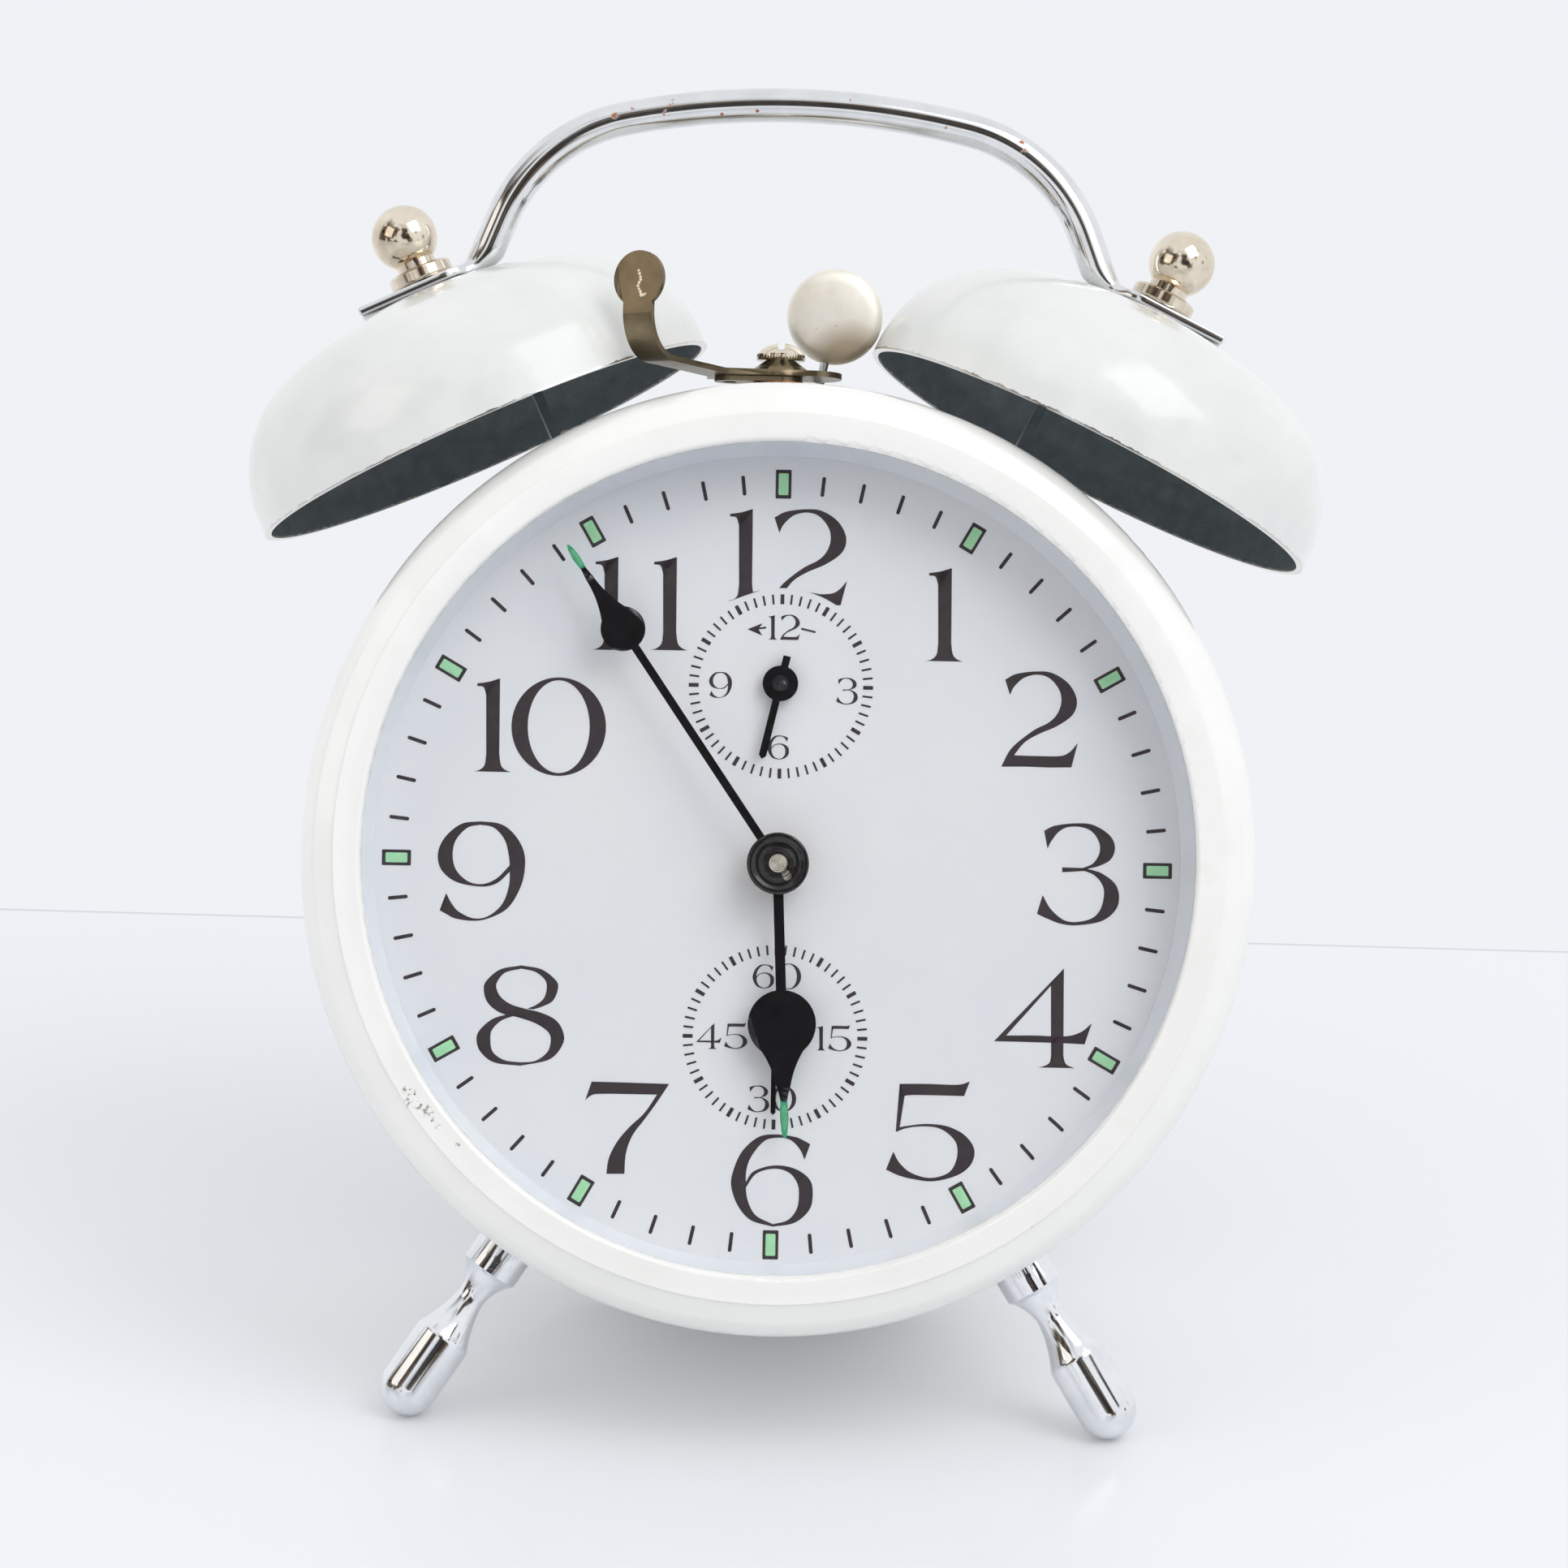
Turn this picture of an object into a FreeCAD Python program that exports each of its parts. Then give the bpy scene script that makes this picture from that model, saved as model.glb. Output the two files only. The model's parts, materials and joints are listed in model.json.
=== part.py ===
import FreeCAD, Part
import math
import os

import Sketcher
from FreeCAD import Placement, Rotation, Vector

# A mechanical alarm clock with two bells, in millimetres, +Z up, the dial facing -Y.
# It is laid out in the clock's own frame: the dial's front face is the plane y = 0, depth runs
# back along +Y, and the case's axis is the Y axis. At the end the whole clock is leaned back
# until it stands on its two legs and the rear edge of its case.

SIZES = {
    # drum, with its front edge inside the bezel and its rear lip
    "case_radius": 55.3,
    "case_wall": 0.8,
    "case_front": -3.0,
    "case_depth": 52.4,
    "rear_edge_round": 2.0,
    "rear_lip": 7.8,
    # bezel ring
    "bezel_overhang": 2.1,
    "bezel_wall": 0.8,
    "bezel_front": 9.0,
    "bezel_skirt": 4.0,
    "bezel_fit": 0.1,
    "bezel_width": 7.6,
    "bezel_roll": 5.6,
    "bezel_step_inset": 4.2,
    "bezel_step": 0.25,
    "bezel_lip": 1.4,
    # lens, spacer ring and dial
    "lens_thickness": 1.0,
    "lens_lap": 1.1,
    "ring_lap": 0.9,
    "ring_taper": 1.9,
    "ring_wall": 0.4,
    "dial_clearance": 1.2,
    "dial_thickness": 0.5,
    "dial_foot_radius": 0.8,
    "dial_foot_reach": 30.0,
    # rear cover and its screws
    "cover_inset": 4.7,
    "cover_thickness": 0.8,
    "cover_rib_inset": 3.2,
    "cover_rib": 0.7,
    "post_radius": 2.4,
    "screw_radius": 1.2,
    "screw_head_radius": 2.5,
    "screw_head": 1.3,
    "screw_length": 9.0,
    "screw_slot": 0.7,
    "screw_turn": 35.0,
    "cover_rib_half": 1.2,
    "cover_hole_gap": 0.3,
    # legs
    "leg_angle": 33.0,
    "leg_depth": 8.0,
    "leg_collar_radius": 3.6,
    "leg_collar": 6.4,
    "leg_neck_radius": 1.75,
    "leg_neck": 3.4,
    "leg_ball_radius": 3.65,
    "leg_shoulder": 15.9,
    "leg_length": 26.75,
    "leg_stud_radius": 1.9,
    "leg_nut_radius": 4.2,
    "leg_nut": 2.0,
    "leg_nut_gap": 1.0,
    "stud_spare": 0.5,
    "soft_edge": 0.5,
    # bells
    "bell_tilt": 25.5,
    "bell_depth": 21.0,
    "bell_lift": 7.26,
    "bell_offset": 11.0,
    "bell_shift": 0.8,
    "bell_radius": 30.15,
    "bell_height": 20.25,
    "bell_crown": 60.0,
    "bell_shoulder": 15.6,
    "bell_wall": 0.8,
    "bell_hole_radius": 2.5,
    # brackets, studs and ball nuts that carry the bells
    "bracket_offset": 8.0,
    "bracket_wall": 1.2,
    "bracket_width": 10.0,
    "bracket_foot": 8.5,
    "bracket_bend": 2.5,
    "foot_screw_radius": 1.0,
    "foot_screw_at": -2.0,
    "foot_screw_head": 1.4,
    "foot_screw_length": 3.0,
    "bell_seat_relief": 0.18,
    "stud_radius": 1.5,
    "stud_collar_radius": 3.6,
    "stud_collar": 1.1,
    "stud_nut": 2.0,
    "stud_tip": 4.0,
    "ball_radius": 4.15,
    "ball_centre": 6.1,
    "ball_neck_radius": 2.5,
    "ball_collar_radius": 4.1,
    "ball_collar": 1.7,
    "ball_collar_edge": 0.3,
    "ball_hole_spare": 0.3,
    # handle
    "handle_radius": 2.15,
    "handle_crown_slope": 12.9,
    "handle_corner": 20.2,
    "handle_leg_slope": 76.0,
    "handle_leg": 0.2,
    "handle_bend": 3.2,
    "handle_sink": 0.3,
    "strap_thickness": 1.3,
    "strap_width": 8.0,
    "strap_half": 6.45,
    "strap_reach": 8.85,
    "strap_taper": 2.4,
    # hammer
    "hammer_pivot_height": 37.0,
    "hammer_beside": 4.86,
    "hammer_rise": 13.36,
    "hammer_radius": 5.95,
    "hammer_thickness": 4.0,
    "hammer_dome": 40.0,
    "hammer_grip": 3.0,
    "hammer_arbor_radius": 1.0,
    "anchor_reach": 9.6,
    "wire_radius": 0.55,
    "hammer_slot_half": 5.6,
    "hammer_slot_width": 2.6,
    # alarm stop lever on top
    "lever_x": -1.3,
    "lever_depth": 12.0,
    "lever_lift": 4.3,
    "lever_thickness": 0.7,
    "lever_width": 7.0,
    "lever_tab": 7.6,
    "lever_left": 9.0,
    "lever_riser_at": 7.0,
    "lever_turn": 31.0,
    "lever_run": 15.3,
    "lever_bend": 5.0,
    "lever_neck": 4.0,
    "lever_pad_radius": 3.4,
    "lever_pad_rise": 9.35,
    "lever_screw_radius": 3.0,
    "lever_screw_head": 2.2,
    "lever_slot": 0.8,
    "lever_cone_radius": 3.8,
    "lever_cone_top": 1.9,
    "lever_cone": 1.4,
    "lever_stem_radius": 1.3,
    "lever_screw_length": 3.0,
    "tab_eye_margin": 1.5,
    "bush_base_radius": 2.6,
    "bush_top_radius": 3.9,
    "tab_thickness": 0.6,
    "tab_length": 6.2,
    "tab_radius": 1.9,
    "copper_thickness": 0.4,
    # movement plates and pillars
    "movement_turn": -0.9,
    "movement_drop": 0.6,
    "front_plate_depth": 7.0,
    "plate_thickness": 1.2,
    "rear_plate_depth": 30.0,
    "plate_side_gap": 18.3,
    "plate_top_gap": 14.3,
    "plate_bottom": -34.0,
    "plate_corner": 16.0,
    "pillar_radius": 2.4,
    "pillar_tenon": 1.2,
    "pillar_inset": 3.54,
    "pillar_bearing": 43.15,
    "pillar_low_side": 4.0,
    "pillar_low_rise": 22.0,
    # fits: a joint that turns, a pressed joint, two faces that touch, and a loose hole
    "running_fit": 0.06,
    "press_fit": 0.01,
    "contact_gap": 0.02,
    "loose_fit": 0.05,
    # hands, their pivots and their levels in front of the dial
    "alarm_height": 21.8,
    "seconds_height": -21.1,
    "hand_thickness": 0.4,
    "hand_boss_radius": 3.7,
    "minute_hand_depth": -4.4,
    "hour_hand_depth": -2.9,
    "alarm_hand_depth": -1.4,
    "seconds_hand_depth": -1.3,
    "minute_rest": 325.6,
    "hour_rest": 177.5,
    "alarm_rest": 193.0,
    "seconds_rest": 180.0,
    "minute_length": 46.1,
    "minute_disc_at": 33.8,
    "minute_disc_radius": 2.7,
    "minute_lume_at": 42.8,
    "minute_half_width": 0.5,
    "hour_length": 33.3,
    "hour_disc_at": 19.3,
    "hour_disc_radius": 4.1,
    "hour_lume_at": 28.7,
    "hour_half_width": 0.61,
    "alarm_length": 9.4,
    "alarm_tail": 3.4,
    "alarm_half_width": 0.45,
    "alarm_boss_radius": 2.15,
    "seconds_length": 9.2,
    "seconds_tail": 3.2,
    "seconds_half_width": 0.3,
    "seconds_boss_radius": 1.3,
    "small_hand_thickness": 0.3,
    # arbors
    "centre_arbor_radius": 1.1,
    "centre_arbor_front": -5.3,
    "cannon_radius": 2.0,
    "hour_pipe_radius": 2.8,
    "alarm_arbor_radius": 1.0,
    "train_arbor_radius": 0.6,
    "winding_arbor_radius": 1.8,
    "strike_arbor_radius": 0.9,
    # gear teeth: numbers, modules, levels and bearings (degrees clockwise from 12 o'clock)
    "motion_distance": 13.625,
    "cannon_teeth": 12,
    "minute_wheel_teeth": 36,
    "minute_pinion_teeth": 10,
    "hour_teeth": 40,
    "minute_wheel_bearing": 120.0,
    "centre_teeth": 64,
    "leaf_count": 8,
    "third_teeth": 60,
    "fourth_teeth": 64,
    "centre_module": 0.40,
    "third_module": 0.35,
    "fourth_module": 0.30,
    "third_bearing": 147.25,
    "escape_bearing": 240.0,
    "escape_teeth": 15,
    "escape_radius": 5.5,
    "great_module": 0.5,
    "centre_leaves": 12,
    "great_teeth": 72,
    "great_bearing": 291.0,
    "alarm_great_teeth": 60,
    "strike_leaves": 10,
    "alarm_great_x": 24.0,
    "alarm_great_z": 12.0,
    "strike_bearing": 314.4,
    "strike_radius": 6.5,
    "strike_teeth": 12,
    "strike_tooth": 2.0,
    "escape_tooth": 1.5,
    "pinion_height": 1.4,
    "pinion_margin": 0.3,
    "wheel_thickness": 0.8,
    "thick_wheel": 1.2,
    "hour_wheel_depth": 2.0,
    "minute_wheel_depth": 4.4,
    "centre_wheel_depth": 9.2,
    "strike_wheel_depth": 10.6,
    "great_wheel_depth": 13.4,
    "third_wheel_depth": 17.0,
    "fourth_wheel_depth": 20.4,
    "escape_wheel_depth": 24.4,
    # mainsprings
    "spring_radius": 13.5,
    "alarm_spring_radius": 10.5,
    "spring_turns": 8,
    "spring_strip": 0.4,
    "spring_front": 17.0,
    "spring_height": 11.0,
    "ratchet_radius": 4.0,
    "ratchet_teeth": 12,
    # escapement, balance and hairspring
    "pallet_bearing": 244.0,
    "pallet_distance": 8.9,
    "fork_length": 7.2,
    "balance_x": -24.5,
    "balance_z": -23.0,
    "balance_radius": 8.6,
    "balance_rim": 1.3,
    "balance_depth": 17.0,
    "hairspring_radius": 5.2,
    "hairspring_turns": 6,
    "hairspring_strip": 0.2,
    "hairspring_height": 0.8,
    "hairspring_gap": 3.6,
    "roller_radius": 1.9,
    "roller_drop": 4.0,
    "roller_height": 0.8,
    "regulator_reach": 10.0,
    "regulator_stub_radius": 1.4,
    "regulator_half_angle": 14.0,
    # knobs and keys behind the case
    "knob_radius": 6.0,
    "knob_length": 8.0,
    "alarm_knob_radius": 5.0,
    "alarm_knob_length": 7.0,
    "rear_gap": 1.2,
    "key_hub_radius": 3.0,
    "key_hub": 6.0,
    "key_wing_half": 10.0,
    "key_wing": 9.0,
    "key_wing_thickness": 1.6,
    "key_turn": 20.0,
    "key_crown": 1.0,
    "key_wing_sink": 0.5,
    "knob_rib": 0.5,
    "knob_foot": 1.0,
}


class Size:
    """A number and the sheet formula that gives it, so that sketches follow the sheet."""

    def __init__(self, value, formula):
        self.value = float(value)
        self.formula = formula

    def __float__(self):
        return self.value

    def __add__(self, other):
        other = as_size(other)
        return Size(self.value + other.value, f"({self.formula} + {other.formula})")

    def __sub__(self, other):
        other = as_size(other)
        return Size(self.value - other.value, f"({self.formula} - {other.formula})")

    def __mul__(self, other):
        other = as_size(other)
        return Size(self.value * other.value, f"({self.formula} * {other.formula})")

    def __truediv__(self, other):
        other = as_size(other)
        return Size(self.value / other.value, f"({self.formula} / {other.formula})")

    def __neg__(self):
        return Size(-self.value, f"(0 - {self.formula})")

    def __radd__(self, other):
        return as_size(other) + self

    def __rsub__(self, other):
        return as_size(other) - self

    def __rmul__(self, other):
        return as_size(other) * self


def as_size(number):
    if isinstance(number, Size):
        return number
    return Size(number, repr(float(number)))


def sine(angle):
    return Size(math.sin(math.radians(float(angle))), f"sin({as_size(angle).formula})")


def cosine(angle):
    return Size(math.cos(math.radians(float(angle))), f"cos({as_size(angle).formula})")


def root(number):
    return Size(math.sqrt(float(number)), f"sqrt({as_size(number).formula})")


document = FreeCAD.newDocument("AlarmClock")
sheet = document.addObject("Spreadsheet::Sheet", "Sizes")


class Sheet:
    """The sheet's sizes as attributes: s.case_radius is the cell with that alias."""


s = Sheet()
for row, (alias, number) in enumerate(SIZES.items(), start=1):
    sheet.set(f"A{row}", alias.replace("_", " "))
    sheet.set(f"B{row}", repr(float(number)))
    sheet.setAlias(f"B{row}", alias)
document.recompute()
for alias in SIZES:
    setattr(s, alias, Size(sheet.get(alias), f"Sizes.{alias}"))


# Sizes that follow from the drum's radius, so that what sits on or in the drum goes with it
s.rear_lip_radius = s.case_radius - s.rear_lip
s.bezel_radius = s.case_radius + s.bezel_overhang
s.bezel_opening = s.bezel_radius - s.bezel_width
s.bezel_step_radius = s.bezel_radius - s.bezel_step_inset
s.lens_radius = s.bezel_opening + s.lens_lap
s.ring_front_radius = s.bezel_opening + s.ring_lap
s.ring_dial_radius = s.ring_front_radius - s.ring_taper
s.dial_radius = s.bezel_step_radius - s.dial_clearance
s.cover_radius = s.case_radius - s.cover_inset
s.cover_rib_radius = s.cover_radius - s.cover_rib_inset
s.bell_rim_reach = s.case_radius + s.bell_lift
s.lever_height = s.case_radius + s.lever_lift
s.lever_pad_height = s.lever_height + s.lever_pad_rise
s.plate_half_width = s.case_radius - s.plate_side_gap
s.plate_top = s.case_radius - s.plate_top_gap
s.pillar_low_x = s.plate_half_width - s.pillar_low_side
s.pillar_low_z = s.pillar_low_rise - s.plate_half_width
s.pillar_circle = s.cover_rib_radius - s.pillar_inset
s.pillar_top_x = s.pillar_circle * sine(s.pillar_bearing)
s.pillar_top_z = s.pillar_circle * cosine(s.pillar_bearing)

# The hammer rests a named distance beside the inner end of the right bell's rim
s.rim_inner = s.bell_radius - s.bell_offset - s.bell_shift
s.rim_inner_x = s.bell_rim_reach * sine(s.bell_tilt) - s.rim_inner * cosine(s.bell_tilt)
s.hammer_aside = s.rim_inner_x - s.hammer_beside - s.hammer_pivot_height * sine(s.movement_turn)
s.hammer_above = (s.case_radius + s.hammer_rise + s.movement_drop
                  - s.hammer_pivot_height * cosine(s.movement_turn))
s.hammer_reach = root(s.hammer_aside * s.hammer_aside + s.hammer_above * s.hammer_above)
HAMMER_LEAN = math.degrees(math.atan2(float(s.hammer_aside), float(s.hammer_above)))


def count(size):
    return int(round(float(size)))


# Ways to lay a piece out. Backward: the piece's own +Z points back along the clock's +Y.
# Forward: it is drawn as seen from the front, so its own X and Y are the clock's X and Z.
BACKWARD = Rotation(Vector(1, 0, 0), -90)
FORWARD = Rotation(Vector(1, 0, 0), 90)
UPRIGHT = Rotation()
ABOUT_Y = Vector(0, 1, 0)


def place(x, y, z, turn=UPRIGHT):
    return Placement(Vector(float(x), float(y), float(z)), turn)


MOVEMENT = Placement(Vector(0, 0, -float(s.movement_drop)), Rotation(ABOUT_Y, float(s.movement_turn)))
NODES = {}


def keep(name, item, placement=None, group=Placement()):
    """Register a finished piece under its node name, at its place in the clock."""
    item.Label = name
    if placement is not None:
        item.Placement = group.multiply(placement)
    NODES[name] = item
    return item


def plane(body, role):
    return [item for item in body.Origin.OriginFeatures if item.Role == role][0]


def new_body(name):
    return document.addObject("PartDesign::Body", "Body_" + name)


def new_sketch(body, role="XY_Plane", level=0.0):
    sketch = body.newObject("Sketcher::SketchObject", "Sketch")
    sketch.AttachmentSupport = [(plane(body, role), "")]
    sketch.MapMode = "FlatFace"
    if isinstance(level, Size):
        sketch.setExpression("AttachmentOffset.Base.z", level.formula)
    else:
        sketch.AttachmentOffset = Placement(Vector(0, 0, level), Rotation())
    return sketch


def arc(start, end, radius, counter_clockwise):
    """The short arc of a radius from start to end, always stored counter-clockwise."""
    if not counter_clockwise:
        start, end = end, start
    chord = end - start
    reach = math.sqrt(max(radius * radius - chord.Length ** 2 / 4, 0.0))
    left = Vector(-chord.y, chord.x, 0).normalize()
    centre = (start + end) * 0.5 + left * reach
    from_angle = math.atan2(start.y - centre.y, start.x - centre.x)
    to_angle = math.atan2(end.y - centre.y, end.x - centre.x)
    circle = Part.Circle(centre, Vector(0, 0, 1), radius)
    return Part.ArcOfCircle(circle, from_angle, to_angle)


def outline(sketch, corners):
    """A closed outline through corners (x, y) or (x, y, radius). A radius makes the line that
    leaves the corner an arc: positive turns counter-clockwise, negative clockwise."""
    first = sketch.GeometryCount
    total = len(corners)
    starts = []
    rules = []
    bound = []
    for index, corner in enumerate(corners):
        follower = corners[(index + 1) % total]
        start = Vector(float(corner[0]), float(corner[1]), 0)
        end = Vector(float(follower[0]), float(follower[1]), 0)
        edge = first + index
        if len(corner) == 3:
            radius = corner[2]
            forward = float(radius) > 0
            sketch.addGeometry(arc(start, end, abs(float(radius)), forward))
            starts.append((1, 2) if forward else (2, 1))
            size = radius if forward else -radius
            bound.append((Sketcher.Constraint("Radius", edge, float(size)), size))
        else:
            sketch.addGeometry(Part.LineSegment(start, end))
            starts.append((1, 2))
    for index, corner in enumerate(corners):
        edge = first + index
        follower = (index + 1) % total
        joint = Sketcher.Constraint("Coincident", edge, starts[index][1],
                                    first + follower, starts[follower][0])
        rules.append(joint)
        for kind, size in (("DistanceX", corner[0]), ("DistanceY", corner[1])):
            rule = Sketcher.Constraint(kind, -1, 1, edge, starts[index][0], float(size))
            bound.append((rule, size))
    sketch.addConstraint(rules)
    begin = sketch.ConstraintCount
    sketch.addConstraint([rule for rule, size in bound])
    for index, (rule, size) in enumerate(bound):
        if isinstance(size, Size):
            sketch.setExpression(f"Constraints[{begin + index}]", size.formula)


def circle(sketch, x, y, radius):
    """A circle with its centre and radius tied to the sheet."""
    middle = Vector(float(x), float(y), 0)
    edge = sketch.addGeometry(Part.Circle(middle, Vector(0, 0, 1), float(radius)))
    begin = sketch.ConstraintCount
    sketch.addConstraint([
        Sketcher.Constraint("DistanceX", -1, 1, edge, 3, float(x)),
        Sketcher.Constraint("DistanceY", -1, 1, edge, 3, float(y)),
        Sketcher.Constraint("Radius", edge, float(radius)),
    ])
    for index, size in enumerate((x, y, radius)):
        if isinstance(size, Size):
            sketch.setExpression(f"Constraints[{begin + index}]", size.formula)


def feature(body, kind, sketch, length=None, backward=False, midplane=False, through=False):
    """A Pad or Pocket of a sketch."""
    item = body.newObject("PartDesign::" + kind, kind)
    item.Profile = sketch
    if through:
        item.Type = "ThroughAll"
    elif isinstance(length, Size):
        item.setExpression("Length", length.formula)
    else:
        item.Length = length
    item.Midplane = midplane
    item.Reversed = backward
    sketch.Visibility = False
    return item


def spin(body, corners, cut=False):
    """Turn an outline (radius, height) about the body's Z axis, adding or cutting."""
    sketch = new_sketch(body, "XZ_Plane")
    outline(sketch, corners)
    item = body.newObject("PartDesign::Groove" if cut else "PartDesign::Revolution", "Turned")
    item.Profile = sketch
    item.ReferenceAxis = (sketch, ["V_Axis"])
    item.Angle = 360
    return item


def turned(name, corners, placement, group=Placement()):
    body = new_body(name)
    spin(body, corners)
    return keep(name, body, placement, group)


def tube(radius, hole, low, high):
    """The outline of a plain tube, or of a rod when the hole is None."""
    inner = as_size(0) if hole is None else hole
    return [(inner, low), (radius, low), (radius, high), (inner, high)]


def cut_holes(body, holes, length, backward=False):
    """Round holes (x, y, radius) from the body's XY plane."""
    sketch = new_sketch(body)
    for x, y, radius in holes:
        circle(sketch, x, y, radius)
    return feature(body, "Pocket", sketch, length, backward=backward)


def dome_radius(radius, rise):
    """The radius of the sphere whose cap has this rim radius and this rise."""
    return (radius * radius + rise * rise) / (2 * rise)


def set_of(name, bodies, group=Placement()):
    """Identical loose pieces that share one node, each a separate solid."""
    item = document.addObject("Part::Compound", "Set_" + name)
    item.Links = bodies
    return keep(name, item, Placement(), group)


def made(name, shape, placement, group=Placement()):
    item = document.addObject("Part::Feature", "Made_" + name)
    item.Shape = shape
    return keep(name, item, placement, group)


def spot(distance, bearing):
    """X and Z of a point at a distance and a bearing clockwise from 12 o'clock."""
    return distance * sine(bearing), distance * cosine(bearing)


# Case, glazing and dial

def case_shell():
    back = s.case_depth
    inner = s.case_radius - s.case_wall
    knee = s.case_radius - s.rear_edge_round
    body = new_body("case_shell")
    spin(body, [
        (inner, s.case_front),
        (s.case_radius, s.case_front),
        (s.case_radius, back - s.rear_edge_round, s.rear_edge_round),
        (knee, back),
        (s.rear_lip_radius, back),
        (s.rear_lip_radius, back - s.case_wall),
        (knee, back - s.case_wall, -(s.rear_edge_round - s.case_wall)),
        (inner, back - s.rear_edge_round),
    ])
    half = s.hammer_slot_half
    near = s.bell_depth - s.hammer_slot_width * 0.5
    far = s.bell_depth + s.hammer_slot_width * 0.5
    side = new_sketch(body, "XZ_Plane")
    outline(side, [(-half, near), (half, near), (half, far), (-half, far)])
    feature(body, "Pocket", side, s.case_radius + 2.0, backward=True)
    bush = new_sketch(body, "XZ_Plane")
    circle(bush, s.lever_x, s.lever_depth, s.lever_stem_radius + s.running_fit)
    feature(body, "Pocket", bush, s.case_radius + 2.0, backward=True)
    for sign in (-1, 1):
        way = Vector(sign * math.sin(math.radians(float(s.leg_angle))),
                     math.cos(math.radians(float(s.leg_angle))), 0)
        drill(body, Vector(0, 0, float(s.leg_depth)), way, s.leg_stud_radius + s.running_fit,
              s.case_radius + 1.0)
        way, beside = bell_frame_ways(sign)
        start = beside * float(s.foot_screw_at) + Vector(0, 0, float(s.bell_depth))
        drill(body, start, way, s.foot_screw_radius + s.running_fit, s.case_radius + 1.0)
    return keep("case_shell", body, place(0, 0, 0, BACKWARD))


def bezel():
    fit = s.case_radius + s.bezel_fit
    wall = s.bezel_wall
    front = -s.bezel_front
    roll = s.bezel_roll
    neck = fit + wall
    widest = s.bezel_radius
    crown = widest - roll
    step = s.bezel_step_radius
    lip = s.bezel_opening
    lens_face = front + s.bezel_lip
    turned("bezel", [
        (fit, s.bezel_skirt),
        (neck, s.bezel_skirt),
        (neck, s.bezel_skirt * 0.25),
        (widest, front + roll, -roll),
        (crown + roll * cosine(50), front + roll - roll * sine(50)),
        (step, front + s.bezel_step),
        (step, front),
        (lip + wall, front, -wall),
        (lip, front + wall),
        (lip, lens_face),
        (step, lens_face),
        (step, s.case_front - 0.2),
        (fit, s.case_front - 0.2),
    ], place(0, 0, 0, BACKWARD))


def glazing():
    glass = s.bezel_lip - s.bezel_front + s.contact_gap
    back = glass + s.lens_thickness
    turned("lens", tube(s.lens_radius, None, glass, back), place(0, 0, 0, BACKWARD))
    start = back + s.contact_gap
    wide = s.ring_front_radius
    narrow = s.ring_dial_radius
    wall = s.ring_wall
    turned("dial_ring", [
        (wide, start),
        (wide + wall, start),
        (narrow + wall, -s.contact_gap),
        (narrow, -s.contact_gap),
    ], place(0, 0, 0, BACKWARD))


def foot_spots():
    return [spot(s.dial_foot_reach, bearing) for bearing in (80.0, 180.0, 280.0)]


def dial_plate():
    body = new_body("dial_plate")
    face = new_sketch(body)
    circle(face, 0, 0, s.dial_radius)
    feature(body, "Pad", face, s.dial_thickness, backward=True)
    cut_holes(body, [
        (as_size(0), as_size(0), s.hour_pipe_radius + 0.3),
        (as_size(0), s.alarm_height, s.alarm_arbor_radius + 0.2),
        (as_size(0), s.seconds_height, s.train_arbor_radius + 0.2),
    ], s.dial_thickness, backward=False)
    feet = new_sketch(body)
    for x, z in foot_spots():
        circle(feet, x, z, s.dial_foot_radius)
    feature(body, "Pad", feet, s.front_plate_depth + s.plate_thickness, backward=True)
    keep("dial_plate", body, place(0, 0, 0, FORWARD), MOVEMENT)


# Legs, their nuts and the screws at the rear

def leg(side):
    """A turned leg, drawn along its own Z from the drum's surface outward."""
    start = s.case_radius + s.contact_gap
    ball = s.leg_ball_radius
    collar = s.leg_collar_radius
    neck_end = start + s.leg_collar + s.leg_neck
    shoulder = start + s.leg_shoulder
    tip = start + s.leg_length
    inside = leg_nut_top() - s.leg_nut - s.stud_spare
    soft = s.soft_edge
    return turned("leg_" + side, [
        (as_size(0), inside),
        (s.leg_stud_radius, inside),
        (s.leg_stud_radius, start),
        (collar, start),
        (collar, start + s.leg_collar - soft),
        (collar - soft, start + s.leg_collar, -s.leg_collar),
        (s.leg_neck_radius, neck_end, -s.leg_shoulder),
        (ball, shoulder),
        (ball, tip - ball, ball),
        (as_size(0), tip),
    ], leg_place(side))


def leg_place(side):
    sign = -1 if side == "left" else 1
    turn = Rotation(ABOUT_Y, 180 - sign * float(s.leg_angle))
    return place(0, s.leg_depth, 0, turn)


def leg_nut_top():
    return s.case_radius - s.case_wall - s.leg_nut_gap


def hexagon_nut(name, radius, thickness, hole_radius, top, placement):
    """A plain hexagon nut whose upper face is at the height of its top."""
    body = new_body(name)
    sketch = new_sketch(body, "XY_Plane", top - thickness)
    outline(sketch, [(radius * cosine(60 * step), radius * sine(60 * step)) for step in range(6)])
    feature(body, "Pad", sketch, thickness)
    hole = new_sketch(body, "XY_Plane", top - thickness)
    circle(hole, 0, 0, hole_radius)
    feature(body, "Pocket", hole, thickness, backward=True)
    body.Placement = placement
    return body


def leg_nut(side):
    """The nut inside the drum, on the leg's stud."""
    return hexagon_nut("nut_" + side, s.leg_nut_radius, s.leg_nut, s.leg_stud_radius + s.press_fit,
                       leg_nut_top(), leg_place(side))


# Bells, their brackets, studs and ball nuts, and the handle that they clamp

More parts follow.
